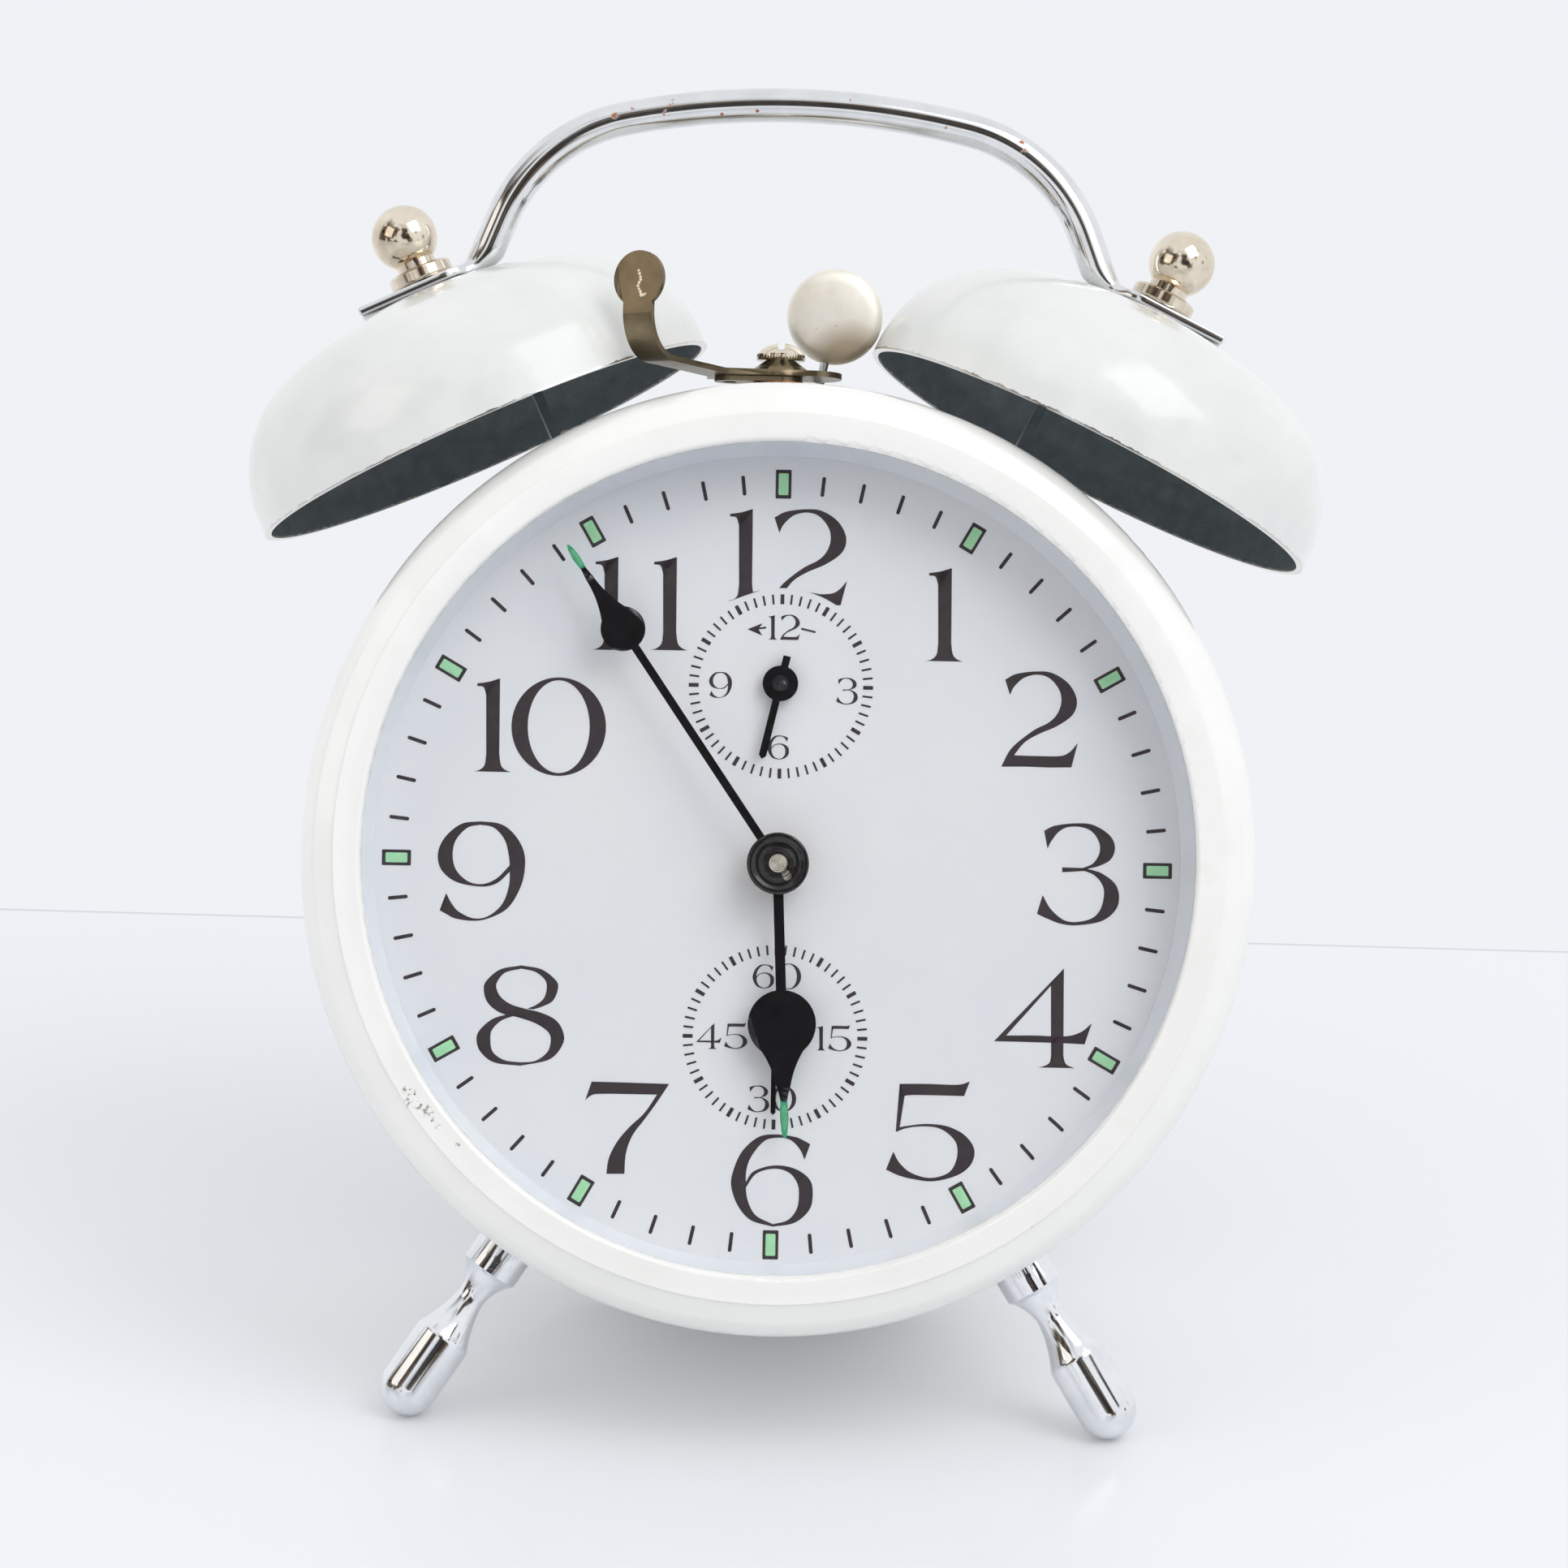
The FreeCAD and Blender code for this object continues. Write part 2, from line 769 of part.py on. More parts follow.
def bell_place(side, offset, reach):
    """A place in a bell's own plane: offset outward along the rim, reach along the axis."""
    tilt = float(s.bell_tilt) if side == "right" else -float(s.bell_tilt)
    turn = Rotation(ABOUT_Y, tilt)
    if side == "left":
        turn = turn.multiply(Rotation(Vector(0, 0, 1), 180))
    frame = Placement(Vector(0, float(s.bell_depth), 0), turn)
    return frame.multiply(place(offset, 0, reach))


def bell(side):
    """A spun bell. Its hole is wider than the stud, and it sits a little outward of it."""
    centre = s.bell_radius - s.bell_shoulder
    swing = s.bell_crown - s.bell_shoulder
    level = s.bell_height - s.bell_crown + root(swing * swing - centre * centre)
    across = centre / swing
    along = (level - s.bell_height + s.bell_crown) / swing
    wall = s.bell_wall
    middle = s.bell_height - s.bell_crown
    outer = s.bell_crown
    inner = s.bell_crown - wall
    hole = s.bell_hole_radius
    turned("bell_" + side, [
        (hole, middle + root(outer * outer - hole * hole), -outer),
        (outer * across, middle + outer * along, -s.bell_shoulder),
        (s.bell_radius, level),
        (s.bell_radius, 0),
        (s.bell_radius - wall, 0),
        (s.bell_radius - wall, level, s.bell_shoulder - wall),
        (inner * across, middle + inner * along, inner),
        (hole, middle + root(inner * inner - hole * hole)),
    ], bell_place(side, s.bell_offset + s.bell_shift, s.bell_rim_reach))


def bracket_top():
    return s.bell_rim_reach + s.bell_height - s.bell_wall - s.stud_collar - s.bell_seat_relief


def bell_bracket(side):
    wall = s.bracket_wall
    bend = s.bracket_bend
    near = s.bell_offset - s.bracket_offset
    far = near + wall
    under = s.case_radius + s.contact_gap
    over = under + wall
    foot = near - s.bracket_foot
    flare = near - bend
    top = bracket_top()
    end = s.bell_offset + s.stud_collar_radius + s.soft_edge
    rise = root(over * over - flare * flare) + bend
    body = new_body("bell_bracket_" + side)
    profile = new_sketch(body, "XZ_Plane")
    outline(profile, [
        (foot, root(under * under - foot * foot), -under),
        (far, root(under * under - far * far)),
        (far, top - wall - bend, -bend),
        (far + bend, top - wall),
        (end, top - wall),
        (end, top),
        (far + bend, top, bend + wall),
        (near, top - wall - bend),
        (near, rise, -bend),
        (flare, rise - bend, over),
        (foot, root(over * over - foot * foot)),
    ])
    feature(body, "Pad", profile, s.bracket_width, midplane=True)
    hole = new_sketch(body, "XY_Plane", top + 1.0)
    circle(hole, s.bell_offset, 0, s.stud_radius + s.contact_gap)
    feature(body, "Pocket", hole, wall + 2.0)
    screw = new_sketch(body, "XY_Plane", over + 2.0)
    circle(screw, s.foot_screw_at, 0, s.foot_screw_radius + s.running_fit)
    feature(body, "Pocket", screw, wall + 4.0)
    keep("bell_bracket_" + side, body, bell_place(side, 0, 0))


def bell_stud(side):
    """A threaded stud with a collar that the bell sits on, up into the ball nut."""
    low = bracket_top() - s.bracket_wall - s.stud_nut - s.stud_spare
    top = bracket_top()
    seat = top + s.stud_collar
    tip = seat + s.bell_wall + s.strap_thickness + s.ball_collar + s.stud_tip
    body = new_body("stud_" + side)
    spin(body, [
        (as_size(0), low),
        (s.stud_radius, low),
        (s.stud_radius, top),
        (s.stud_collar_radius, top),
        (s.stud_collar_radius, seat),
        (s.stud_radius, seat),
        (s.stud_radius, tip),
        (as_size(0), tip),
    ])
    body.Placement = bell_place(side, s.bell_offset, 0)
    return body


def stud_nut(side):
    """The nut under the bracket."""
    return hexagon_nut("stud_nut_" + side, s.stud_radius * 2, s.stud_nut, s.stud_radius + s.press_fit,
                       bracket_top() - s.bracket_wall, bell_place(side, s.bell_offset, 0))


def foot_screw(side):
    """The screw that holds a bracket's foot on the drum."""
    start = s.case_radius + s.contact_gap + s.bracket_wall + s.contact_gap
    low = s.case_radius - s.case_wall - s.foot_screw_length
    head = s.foot_screw_radius * 1.9
    edge = s.foot_screw_head * 0.4
    body = new_body("foot_screw_" + side)
    spin(body, [
        (as_size(0), low),
        (s.foot_screw_radius, low),
        (s.foot_screw_radius, start),
        (head, start),
        (head, start + edge, dome_radius(head, s.foot_screw_head - edge)),
        (as_size(0), start + s.foot_screw_head),
    ])
    body.Placement = bell_place(side, s.foot_screw_at, 0)
    return body


def bell_frame_ways(sign):
    """A bell plane's axis and its outward direction, in the drum's own frame."""
    tilt = math.radians(float(s.bell_tilt))
    along = Vector(sign * math.sin(tilt), -math.cos(tilt), 0)
    return along, Vector(sign * math.cos(tilt), math.sin(tilt), 0)


def strap_bottom():
    return s.bell_rim_reach + s.bell_height + s.press_fit


def ball_nut(side):
    """Collar, neck and ball in one, with a blind threaded hole for the stud."""
    low = strap_bottom() + s.strap_thickness + s.contact_gap
    top = low + s.ball_collar
    centre = low + s.ball_centre
    neck = s.ball_neck_radius
    ball = s.ball_radius
    hole = s.stud_radius + s.contact_gap
    deep = low + s.ball_collar + s.stud_tip + s.ball_hole_spare
    soft = s.ball_collar_edge
    meet = centre - root(ball * ball - neck * neck)
    turned("ball_nut_" + side, [
        (hole, low),
        (s.ball_collar_radius - soft, low),
        (s.ball_collar_radius, low + soft),
        (s.ball_collar_radius, top - soft),
        (s.ball_collar_radius - soft, top),
        (neck, top),
        (neck, meet, ball),
        (ball, centre, ball),
        (as_size(0), centre + ball),
        (as_size(0), deep),
        (hole, deep),
    ], bell_place(side, s.bell_offset, 0))


def handle():
    """A round rod bent to an arch; each end is flattened to a strap with a hole."""
    tilt = float(s.bell_tilt)
    slope = float(s.handle_leg_slope)
    crown = float(s.handle_crown_slope)
    bend = float(s.handle_bend)
    corner = float(s.handle_corner)
    rod = float(s.handle_radius)
    seat = float(strap_bottom())
    level = seat + rod - float(s.handle_sink)
    inner = float(s.bell_offset) - float(s.strap_half)
    flat = inner - float(s.strap_taper)

    def flat_point(offset, reach):
        return bell_place("right", offset, reach).Base

    def heading(degrees):
        turn = math.radians(degrees)
        return Vector(math.cos(turn), 0, -math.sin(turn))

    def beside(degrees):
        turn = math.radians(degrees)
        return Vector(math.sin(turn), 0, math.cos(turn))

    bend_end = flat_point(flat, level)
    bend_centre = bend_end + beside(tilt) * bend
    bend_middle = bend_centre - beside((tilt + slope) / 2) * bend
    bend_start = bend_centre - beside(slope) * bend
    leg_start = bend_start - heading(slope) * float(s.handle_leg)
    corner_centre = leg_start - beside(slope) * corner
    corner_middle = corner_centre + beside((slope + crown) / 2) * corner
    corner_start = corner_centre + beside(crown) * corner
    arch = corner_start.x / math.sin(math.radians(crown))
    summit = Vector(0, corner_start.y, corner_start.z + arch * (1 - math.cos(math.radians(crown))))

    def mirror(point):
        return Vector(-point.x, point.y, point.z)

    right = [
        Part.Arc(corner_start, corner_middle, leg_start).toShape(),
        Part.LineSegment(leg_start, bend_start).toShape(),
        Part.Arc(bend_start, bend_middle, bend_end).toShape(),
    ]
    left = [
        Part.Arc(mirror(bend_end), mirror(bend_middle), mirror(bend_start)).toShape(),
        Part.LineSegment(mirror(bend_start), mirror(leg_start)).toShape(),
        Part.Arc(mirror(leg_start), mirror(corner_middle), mirror(corner_start)).toShape(),
    ]
    top = [Part.Arc(mirror(corner_start), summit, corner_start).toShape()]
    path = Part.Wire(left + top + right)
    start_way = heading(-tilt)
    ring = Part.Wire([Part.Circle(mirror(bend_end), start_way, rod).toShape()])
    arch_shape = path.makePipeShell([ring], True, True)

    def strap(side):
        wide = float(s.strap_width) / 2
        thick = float(s.strap_thickness)
        corners = [(-wide, 0), (wide, 0), (wide, thick), (-wide, thick)]
        points = [Vector(0, across, up + seat) for across, up in corners]
        flat_wire = Part.makePolygon(points + points[:1])
        flat_wire.translate(Vector(inner, 0, 0))
        middle = Vector(flat, 0, level)
        quarter = [math.radians(angle) for angle in (225, 315, 45, 135)]
        on_ring = [Vector(0, rod * math.cos(angle), rod * math.sin(angle)) + middle for angle in quarter]
        sides = []
        for index in range(4):
            begin = quarter[index]
            half = begin + math.pi / 4
            between = Vector(0, rod * math.cos(half), rod * math.sin(half)) + middle
            sides.append(Part.Arc(on_ring[index], between, on_ring[(index + 1) % 4]).toShape())
        round_wire = Part.Wire(sides)
        taper = Part.makeLoft([round_wire, flat_wire], True, True)
        length = float(s.strap_half + s.strap_reach)
        bar = Part.makeBox(length, 2 * wide, thick, Vector(inner, -wide, seat))
        hole = Part.makeCylinder(float(s.stud_radius + s.loose_fit), 4 * thick,
                                 Vector(float(s.bell_offset), 0, seat - thick))
        end = bar.fuse(taper).cut(hole)
        end.Placement = bell_place(side, 0, 0)
        return end

    whole = arch_shape.fuse([strap("left"), strap("right")]).removeSplitter()
    made("handle", whole, Placement())


# Hammer and the alarm stop lever

def hammer_pivot():
    return MOVEMENT.multVec(Vector(0, 0, float(s.hammer_pivot_height)))


def hammer():
    pivot = hammer_pivot()
    pose = Placement(Vector(pivot.x, float(s.bell_depth), pivot.z), Rotation(ABOUT_Y, HAMMER_LEAN))
    half = s.hammer_thickness * 0.5
    edge = s.hammer_radius
    dome = s.hammer_dome
    face = edge - 0.9
    rise = dome - root(dome * dome - face * face)
    body = new_body("hammer_head")
    spin(body, [
        (as_size(0), -half, dome),
        (face, rise - half, s.hammer_thickness * 0.4),
        (edge, 0, s.hammer_thickness * 0.6),
        (edge - 0.5, half),
        (as_size(0), half),
    ])
    drill(body, Vector(), Vector(0, 1, 0), s.wire_radius + s.press_fit, edge + 1.0, edge - s.hammer_grip)
    keep("hammer_head", body, pose.multiply(place(0, 0, s.hammer_reach, BACKWARD)))
    wire = document.addObject("Part::Cylinder", "HammerWire")
    wire.setExpression("Radius", s.wire_radius.formula)
    start = s.hammer_arbor_radius + s.contact_gap
    length = s.hammer_reach - edge + s.hammer_grip - start - s.contact_gap
    wire.setExpression("Height", length.formula)
    keep("hammer_wire", wire, pose.multiply(place(0, 0, start)))


def on_lever(height):
    return place(s.lever_x, s.lever_depth, height)


def stop_lever():
    thick = s.lever_thickness
    half = s.lever_width * 0.5
    left = -s.lever_left
    plate = new_body("lever_plate")
    plan = new_sketch(plate)
    outline(plan, [
        (left, -half),
        (s.lever_tab - half, -half, half),
        (s.lever_tab, as_size(0), half),
        (s.lever_tab - half, half),
        (left, half),
    ])
    feature(plate, "Pad", plan, thick)
    cut_holes(plate, [(as_size(0), as_size(0), s.lever_stem_radius + s.running_fit)], thick, backward=True)
    riser = new_body("lever_riser")
    run = s.lever_run
    bend = s.lever_bend
    rise = s.lever_pad_height - s.lever_height
    side = new_sketch(riser, "XZ_Plane")
    outline(side, [
        (as_size(0), as_size(0)),
        (run, as_size(0), bend + thick),
        (run + bend + thick, bend + thick),
        (run + bend + thick, rise),
        (run + bend, rise),
        (run + bend, bend + thick, -bend),
        (run, thick),
        (as_size(0), thick),
    ])
    feature(riser, "Pad", side, s.lever_neck, midplane=True)
    pad = new_sketch(riser, "YZ_Plane", run + bend)
    circle(pad, 0, rise, s.lever_pad_radius)
    feature(riser, "Pad", pad, thick)
    turn = Rotation(Vector(0, 0, 1), 270 - float(s.lever_turn))
    riser.Placement = place(-s.lever_riser_at, 0, 0, turn)
    cone = new_body("lever_cone")
    hole = s.lever_stem_radius + s.running_fit
    spin(cone, [
        (hole, as_size(0)),
        (s.lever_cone_radius, as_size(0)),
        (s.lever_cone_radius, thick),
        (s.lever_cone_top, thick + s.lever_cone),
        (hole, thick + s.lever_cone),
    ])
    whole = document.addObject("Part::MultiFuse", "StopLever")
    whole.Shapes = [plate, riser, cone]
    keep("stop_lever", whole, on_lever(s.lever_height + s.loose_fit))


def lever_stack():
    """From the drum up: bush, copper washer, tab washer, the lever, and the slotted screw."""
    base = s.case_radius + s.contact_gap
    tab_low = s.lever_height - s.tab_thickness
    washer_low = tab_low - s.copper_thickness
    hole = s.lever_stem_radius + s.running_fit
    turned("lever_bush", [
        (hole, base),
        (s.bush_base_radius, base),
        (s.bush_top_radius, washer_low - 1.0),
        (s.bush_top_radius, washer_low),
        (hole, washer_low),
    ], on_lever(0))
    turned("lever_washer", tube(s.bush_top_radius - 0.6, hole, washer_low, tab_low), on_lever(0))
    tab = new_body("lever_tab")
    plan = new_sketch(tab)
    wide = s.lever_stem_radius + s.tab_eye_margin
    small = s.tab_radius
    outline(plan, [
        (as_size(0), -wide, wide),
        (wide, as_size(0), wide),
        (as_size(0), wide),
        (-s.tab_length, small, small),
        (-s.tab_length - small, as_size(0), small),
        (-s.tab_length, -small),
    ])
    feature(tab, "Pad", plan, s.tab_thickness)
    cut_holes(tab, [(as_size(0), as_size(0), hole), (-s.tab_length, as_size(0), small * 0.45)],
              s.tab_thickness, backward=True)
    keep("lever_tab", tab, on_lever(tab_low))
    low = s.case_radius - s.case_wall - s.lever_screw_length
    neck = s.lever_height + s.lever_thickness + s.lever_cone + 2 * s.loose_fit
    top = neck + s.lever_screw_head
    edge = s.lever_screw_head * 0.3
    screw = new_body("lever_screw")
    spin(screw, [
        (as_size(0), low),
        (s.lever_stem_radius, low),
        (s.lever_stem_radius, neck),
        (s.lever_screw_radius, neck),
        (s.lever_screw_radius, neck + edge, dome_radius(s.lever_screw_radius, s.lever_screw_head - edge)),
        (as_size(0), top),
    ])
    slot = new_sketch(screw, "XY_Plane", top)
    reach = s.lever_screw_radius + 1.0
    half = s.lever_slot * 0.5
    outline(slot, [(-half, -reach), (half, -reach), (half, reach), (-half, reach)])
    feature(screw, "Pocket", slot, s.lever_screw_head * 0.5)
    keep("lever_screw", screw, on_lever(0))


# Movement: plates, pillars and posts

def pillar_spots():
    return [
        (-s.pillar_top_x, s.pillar_top_z),
        (s.pillar_top_x, s.pillar_top_z),
        (s.pillar_low_x, s.pillar_low_z),
        (-s.pillar_low_x, s.pillar_low_z),
    ]


def arbor_spots():
    """Each arbor of the movement: X, Z and radius."""
    fit = s.running_fit
    spots = [
        (*ARBORS["centre"], s.centre_arbor_radius),
        (*ARBORS["alarm"], s.alarm_arbor_radius),
        (*ARBORS["third"], s.train_arbor_radius),
        (*ARBORS["fourth"], s.train_arbor_radius),
        (*ARBORS["escape"], s.train_arbor_radius),
        (*ARBORS["pallet"], s.train_arbor_radius),
        (*ARBORS["balance"], s.train_arbor_radius),
        (*ARBORS["great"], s.winding_arbor_radius),
        (*ARBORS["alarm_great"], s.winding_arbor_radius),
        (*ARBORS["strike"], s.strike_arbor_radius),
        (*ARBORS["hammer"], s.hammer_arbor_radius),
    ]
    return [(x, z, radius + fit) for x, z, radius in spots]


def locate_arbors():
    zero = as_size(0)
    third = spot(s.centre_module * (s.centre_teeth + s.leaf_count) * 0.5, s.third_bearing)
    fourth = (zero, s.seconds_height)
    step = spot(s.fourth_module * (s.fourth_teeth + s.leaf_count) * 0.5, s.escape_bearing)
    escape = (fourth[0] + step[0], fourth[1] + step[1])
    step = spot(s.pallet_distance, s.pallet_bearing)
    pallet = (escape[0] + step[0], escape[1] + step[1])
    great = spot(s.great_module * (s.great_teeth + s.centre_leaves) * 0.5, s.great_bearing)
    alarm_great = (s.alarm_great_x, s.alarm_great_z)
    step = spot(s.great_module * (s.alarm_great_teeth + s.strike_leaves) * 0.5, s.strike_bearing)
    strike = (alarm_great[0] + step[0], alarm_great[1] + step[1])
    return {
        "centre": (zero, zero),
        "minute_wheel": spot(s.motion_distance, s.minute_wheel_bearing),
        "alarm": (zero, s.alarm_height),
        "third": third,
        "fourth": fourth,
        "escape": escape,
        "pallet": pallet,
        "balance": (s.balance_x, s.balance_z),
        "great": great,
        "alarm_great": alarm_great,
        "strike": strike,
        "hammer": (zero, s.hammer_pivot_height),
    }


ARBORS = locate_arbors()


def movement_plate(name, depth, extra):
    body = new_body(name)
    sketch = new_sketch(body)
    wide = s.plate_half_width
    top = s.plate_top
    low = s.plate_bottom
    bend = s.plate_corner
    outline(sketch, [
        (bend - wide, low),
        (wide - bend, low, bend),
        (wide, low + bend),
        (wide, top - bend, bend),
        (wide - bend, top),
        (bend - wide, top, bend),
        (-wide, top - bend),
        (-wide, low + bend, bend),
    ])
    feature(body, "Pad", sketch, s.plate_thickness, backward=True)
    holes = arbor_spots() + [(x, z, s.pillar_tenon + s.press_fit) for x, z in pillar_spots()] + extra
    cut_holes(body, holes, s.plate_thickness)
    return keep(name, body, place(0, depth, 0, FORWARD), MOVEMENT), body


def plates():
    feet = [(x, z, s.dial_foot_radius + s.loose_fit) for x, z in foot_spots()]
    front, body = movement_plate("front_plate", s.front_plate_depth, feet)
    stud = new_sketch(body)
    circle(stud, *ARBORS["minute_wheel"], s.train_arbor_radius + 0.2)
    feature(body, "Pad", stud, s.front_plate_depth - s.hour_wheel_depth + 0.4)
    rear, body = movement_plate("rear_plate", s.rear_plate_depth, [])
    regulator = new_sketch(body, "XY_Plane", -s.plate_thickness)
    circle(regulator, *ARBORS["balance"], s.regulator_stub_radius)
    circle(regulator, *ARBORS["balance"], s.train_arbor_radius + s.running_fit)
    feature(body, "Pad", regulator, 2.4, backward=True)


def pillar(x, z):
    body = new_body("pillar")
    low = s.front_plate_depth
    inner = low + s.plate_thickness
    high = s.rear_plate_depth
    spin(body, [
        (as_size(0), low),
        (s.pillar_tenon, low),
        (s.pillar_tenon, inner),
        (s.pillar_radius, inner),
        (s.pillar_radius, high),
        (s.pillar_tenon, high),
        (s.pillar_tenon, high + s.plate_thickness),
        (as_size(0), high + s.plate_thickness),
    ])
    body.Placement = place(x, 0, z, BACKWARD)
    return body


def post(x, z):
    """A hollow post from the rear plate to the rear cover, threaded for the cover's screw."""
    body = new_body("post")
    low = s.rear_plate_depth + s.plate_thickness
    high = s.case_depth - s.contact_gap
    hole = s.screw_radius + s.press_fit
    deep = high - s.screw_length
    spin(body, [
        (as_size(0), low),
        (s.post_radius, low),
        (s.post_radius, high),
        (hole, high),
        (hole, deep),
        (as_size(0), deep),
    ])
    body.Placement = place(x, 0, z, BACKWARD)
    return body


def cover_screw(x, z):
    body = new_body("cover_screw")
    face = s.case_depth + s.cover_thickness + s.contact_gap
    head = s.screw_head_radius
    low = face - s.screw_length
    top = face + s.screw_head
    spin(body, [
        (as_size(0), low),
        (s.screw_radius, low),
        (s.screw_radius, face),
        (head, face),
        (head, face + s.screw_head * 0.5, dome_radius(head, s.screw_head * 0.5)),
        (as_size(0), top),
    ])
    slot = new_sketch(body, "XY_Plane", top)
    reach = head + 1.0
    half = s.screw_slot * 0.5
    outline(slot, [(-reach, -half), (reach, -half), (reach, half), (-reach, half)])
    feature(body, "Pocket", slot, s.screw_head * 0.55)
    turn = BACKWARD.multiply(Rotation(Vector(0, 0, 1), float(s.screw_turn)))
    body.Placement = place(x, 0, z, turn)
    return body


def back_cover():
    """A pressed disc with a stepped rib, holes for knobs, keys and screws, and a regulator slot."""
    body = new_body("back_cover")
    low = s.case_depth + s.press_fit
    thick = s.cover_thickness
    rib = s.cover_rib_radius
    half = s.cover_rib_half
    spin(body, [
        (as_size(0), low),
        (rib, low),
        (rib + half * 0.5, low + s.cover_rib * 0.5),
        (rib + half, low),
        (s.cover_radius, low),
        (s.cover_radius, low + thick),
        (rib + half * 1.35, low + thick),
        (rib + half * 0.5, low + thick + s.cover_rib),
        (rib - half * 0.35, low + thick),
        (as_size(0), low + thick),
    ])
    holes = new_sketch(body)
    clear = s.cover_hole_gap
    circle(holes, *flipped(ARBORS["centre"]), s.centre_arbor_radius + clear)
    circle(holes, *flipped(ARBORS["alarm"]), s.alarm_arbor_radius + clear)
    circle(holes, *flipped(ARBORS["great"]), s.winding_arbor_radius + clear)
    circle(holes, *flipped(ARBORS["alarm_great"]), s.winding_arbor_radius + clear)
    for x, z in pillar_spots():
        circle(holes, *flipped((x, z)), s.screw_radius + s.loose_fit)
    arc_slot(holes)
    feature(body, "Pocket", holes, s.case_depth + 4 * s.cover_thickness, backward=True)
    keep("back_cover", body, place(0, 0, 0, BACKWARD), MOVEMENT)


def flipped(point):
    """The clock's X and Z as the X and Y of a body laid backward."""
    return point[0], -point[1]


def arc_slot(sketch):
    """The slot that the regulator's pin moves in, an arc about the balance's axis."""
    x, y = flipped(ARBORS["balance"])
    half = s.regulator_half_angle + 6.0
    inner = s.regulator_reach - 1.3
    outer = s.regulator_reach + 1.3
    outline(sketch, [
        (x + outer * cosine(half), y - outer * sine(half), outer),
        (x + outer * cosine(half), y + outer * sine(half)),
        (x + inner * cosine(half), y + inner * sine(half), -inner),
        (x + inner * cosine(half), y - inner * sine(half)),
    ])


# Gear teeth and other thin parts, drawn by formula

def ring_of_points(points):
    return Part.Face(Part.Wire(Part.makePolygon(points + points[:1])))


def gear(teeth, module, low, thickness, phase, hole=None, windows=0):
    """A wheel or pinion with straight-flanked teeth; the phase is a tooth's bearing in degrees."""
    number = count(teeth)
    module = float(module)
    pitch = number * module / 2
    tip = pitch + 0.72 * module
    base = pitch - 1.05 * module
    step = 2 * math.pi / number
    points = []
    for index in range(number):
        middle = math.radians(float(phase)) + index * step
        for radius, share in ((base, -0.26), (tip, -0.09), (tip, 0.09), (base, 0.26)):
            angle = middle + share * step
            points.append(Vector(radius * math.cos(angle), radius * math.sin(angle), float(low)))
    shape = ring_of_points(points).extrude(Vector(0, 0, float(thickness)))
    if windows:
        reach = base * 0.62
        size = base * 0.2
        for index in range(windows):
            angle = 2 * math.pi * index / windows
            middle = Vector(reach * math.cos(angle), reach * math.sin(angle), float(low) - 1)
            shape = shape.cut(Part.makeCylinder(size, float(thickness) + 2, middle))
    if hole is not None:
        bore = Part.makeCylinder(float(hole), float(thickness) + 2, Vector(0, 0, float(low) - 1))
        shape = shape.cut(bore)
    return shape


def star(teeth, radius, depth, low, thickness, lean):
    """A wheel with pointed teeth, as an escape or ratchet wheel has."""
    number = count(teeth)
    depth = float(depth)
    step = 2 * math.pi / number
    points = []
    for index in range(number):
        start = index * step
        for reach, angle in ((float(radius), start), (float(radius) - depth, start + lean * step)):
            points.append(Vector(reach * math.cos(angle), reach * math.sin(angle), float(low)))
    return ring_of_points(points).extrude(Vector(0, 0, float(thickness)))


def rod(radius, low, high):
    return Part.makeCylinder(float(radius), float(high) - float(low), Vector(0, 0, float(low)))


def pipe(radius, hole, low, high):
    return rod(radius, low, high).cut(rod(hole, float(low) - 1, float(high) + 1))


def bar(start, end, width, low, thickness):
    """A straight flat bar with round ends from one point to another in plan."""
    along = Vector(end[0] - start[0], end[1] - start[1], 0)
    angle = math.degrees(math.atan2(along.y, along.x))
    half = width / 2
    shape = Part.makeBox(along.Length, width, float(thickness), Vector(0, -half, 0))
    for centre in (0, along.Length):
        shape = shape.fuse(Part.makeCylinder(half, float(thickness), Vector(centre, 0, 0)))
    shape.Placement = Placement(Vector(start[0], start[1], float(low)), Rotation(Vector(0, 0, 1), angle))
    return shape


def spiral(inner, outer, turns, strip, low, height):
    """A flat spiral strip made of half-turn arcs that grow by half a pitch each."""
    inner = float(inner)
    low = float(low)
    turns = count(turns)
    pitch = (float(outer) - inner - float(strip)) / turns
    strip = float(strip)

    def edge(start_radius):
        arcs = []
        radius = start_radius
        middle = 0.0
        sign = 1
        for half in range(2 * turns):
            begin = Vector(middle + sign * radius, 0, low)
            top = Vector(middle, sign * radius, low)
            end = Vector(middle - sign * radius, 0, low)
            arcs.append(Part.Arc(begin, top, end).toShape())
            middle += sign * pitch / 2
            radius += pitch / 2
            sign = -sign
        return arcs

    inside = edge(inner)
    outside = edge(inner + strip)
    start = Part.LineSegment(inside[0].Vertexes[0].Point, outside[0].Vertexes[0].Point).toShape()
    finish = Part.LineSegment(inside[-1].Vertexes[-1].Point, outside[-1].Vertexes[-1].Point).toShape()
    edges = Part.sortEdges(inside + outside + [start, finish])[0]
    return Part.Face(Part.Wire(edges)).extrude(Vector(0, 0, float(height)))


def on_arbor(name, key, shape):
    """A piece of the movement, its own Z being depth, on the arbor of that name."""
    return made(name, shape, place(ARBORS[key][0], 0, ARBORS[key][1], BACKWARD), MOVEMENT)


def direction(start, end):
    """Angle in degrees from one arbor to another in a backward-laid piece's own plane."""
    across = float(ARBORS[end][0]) - float(ARBORS[start][0])
    down = float(ARBORS[start][1]) - float(ARBORS[end][1])
    return math.degrees(math.atan2(down, across))


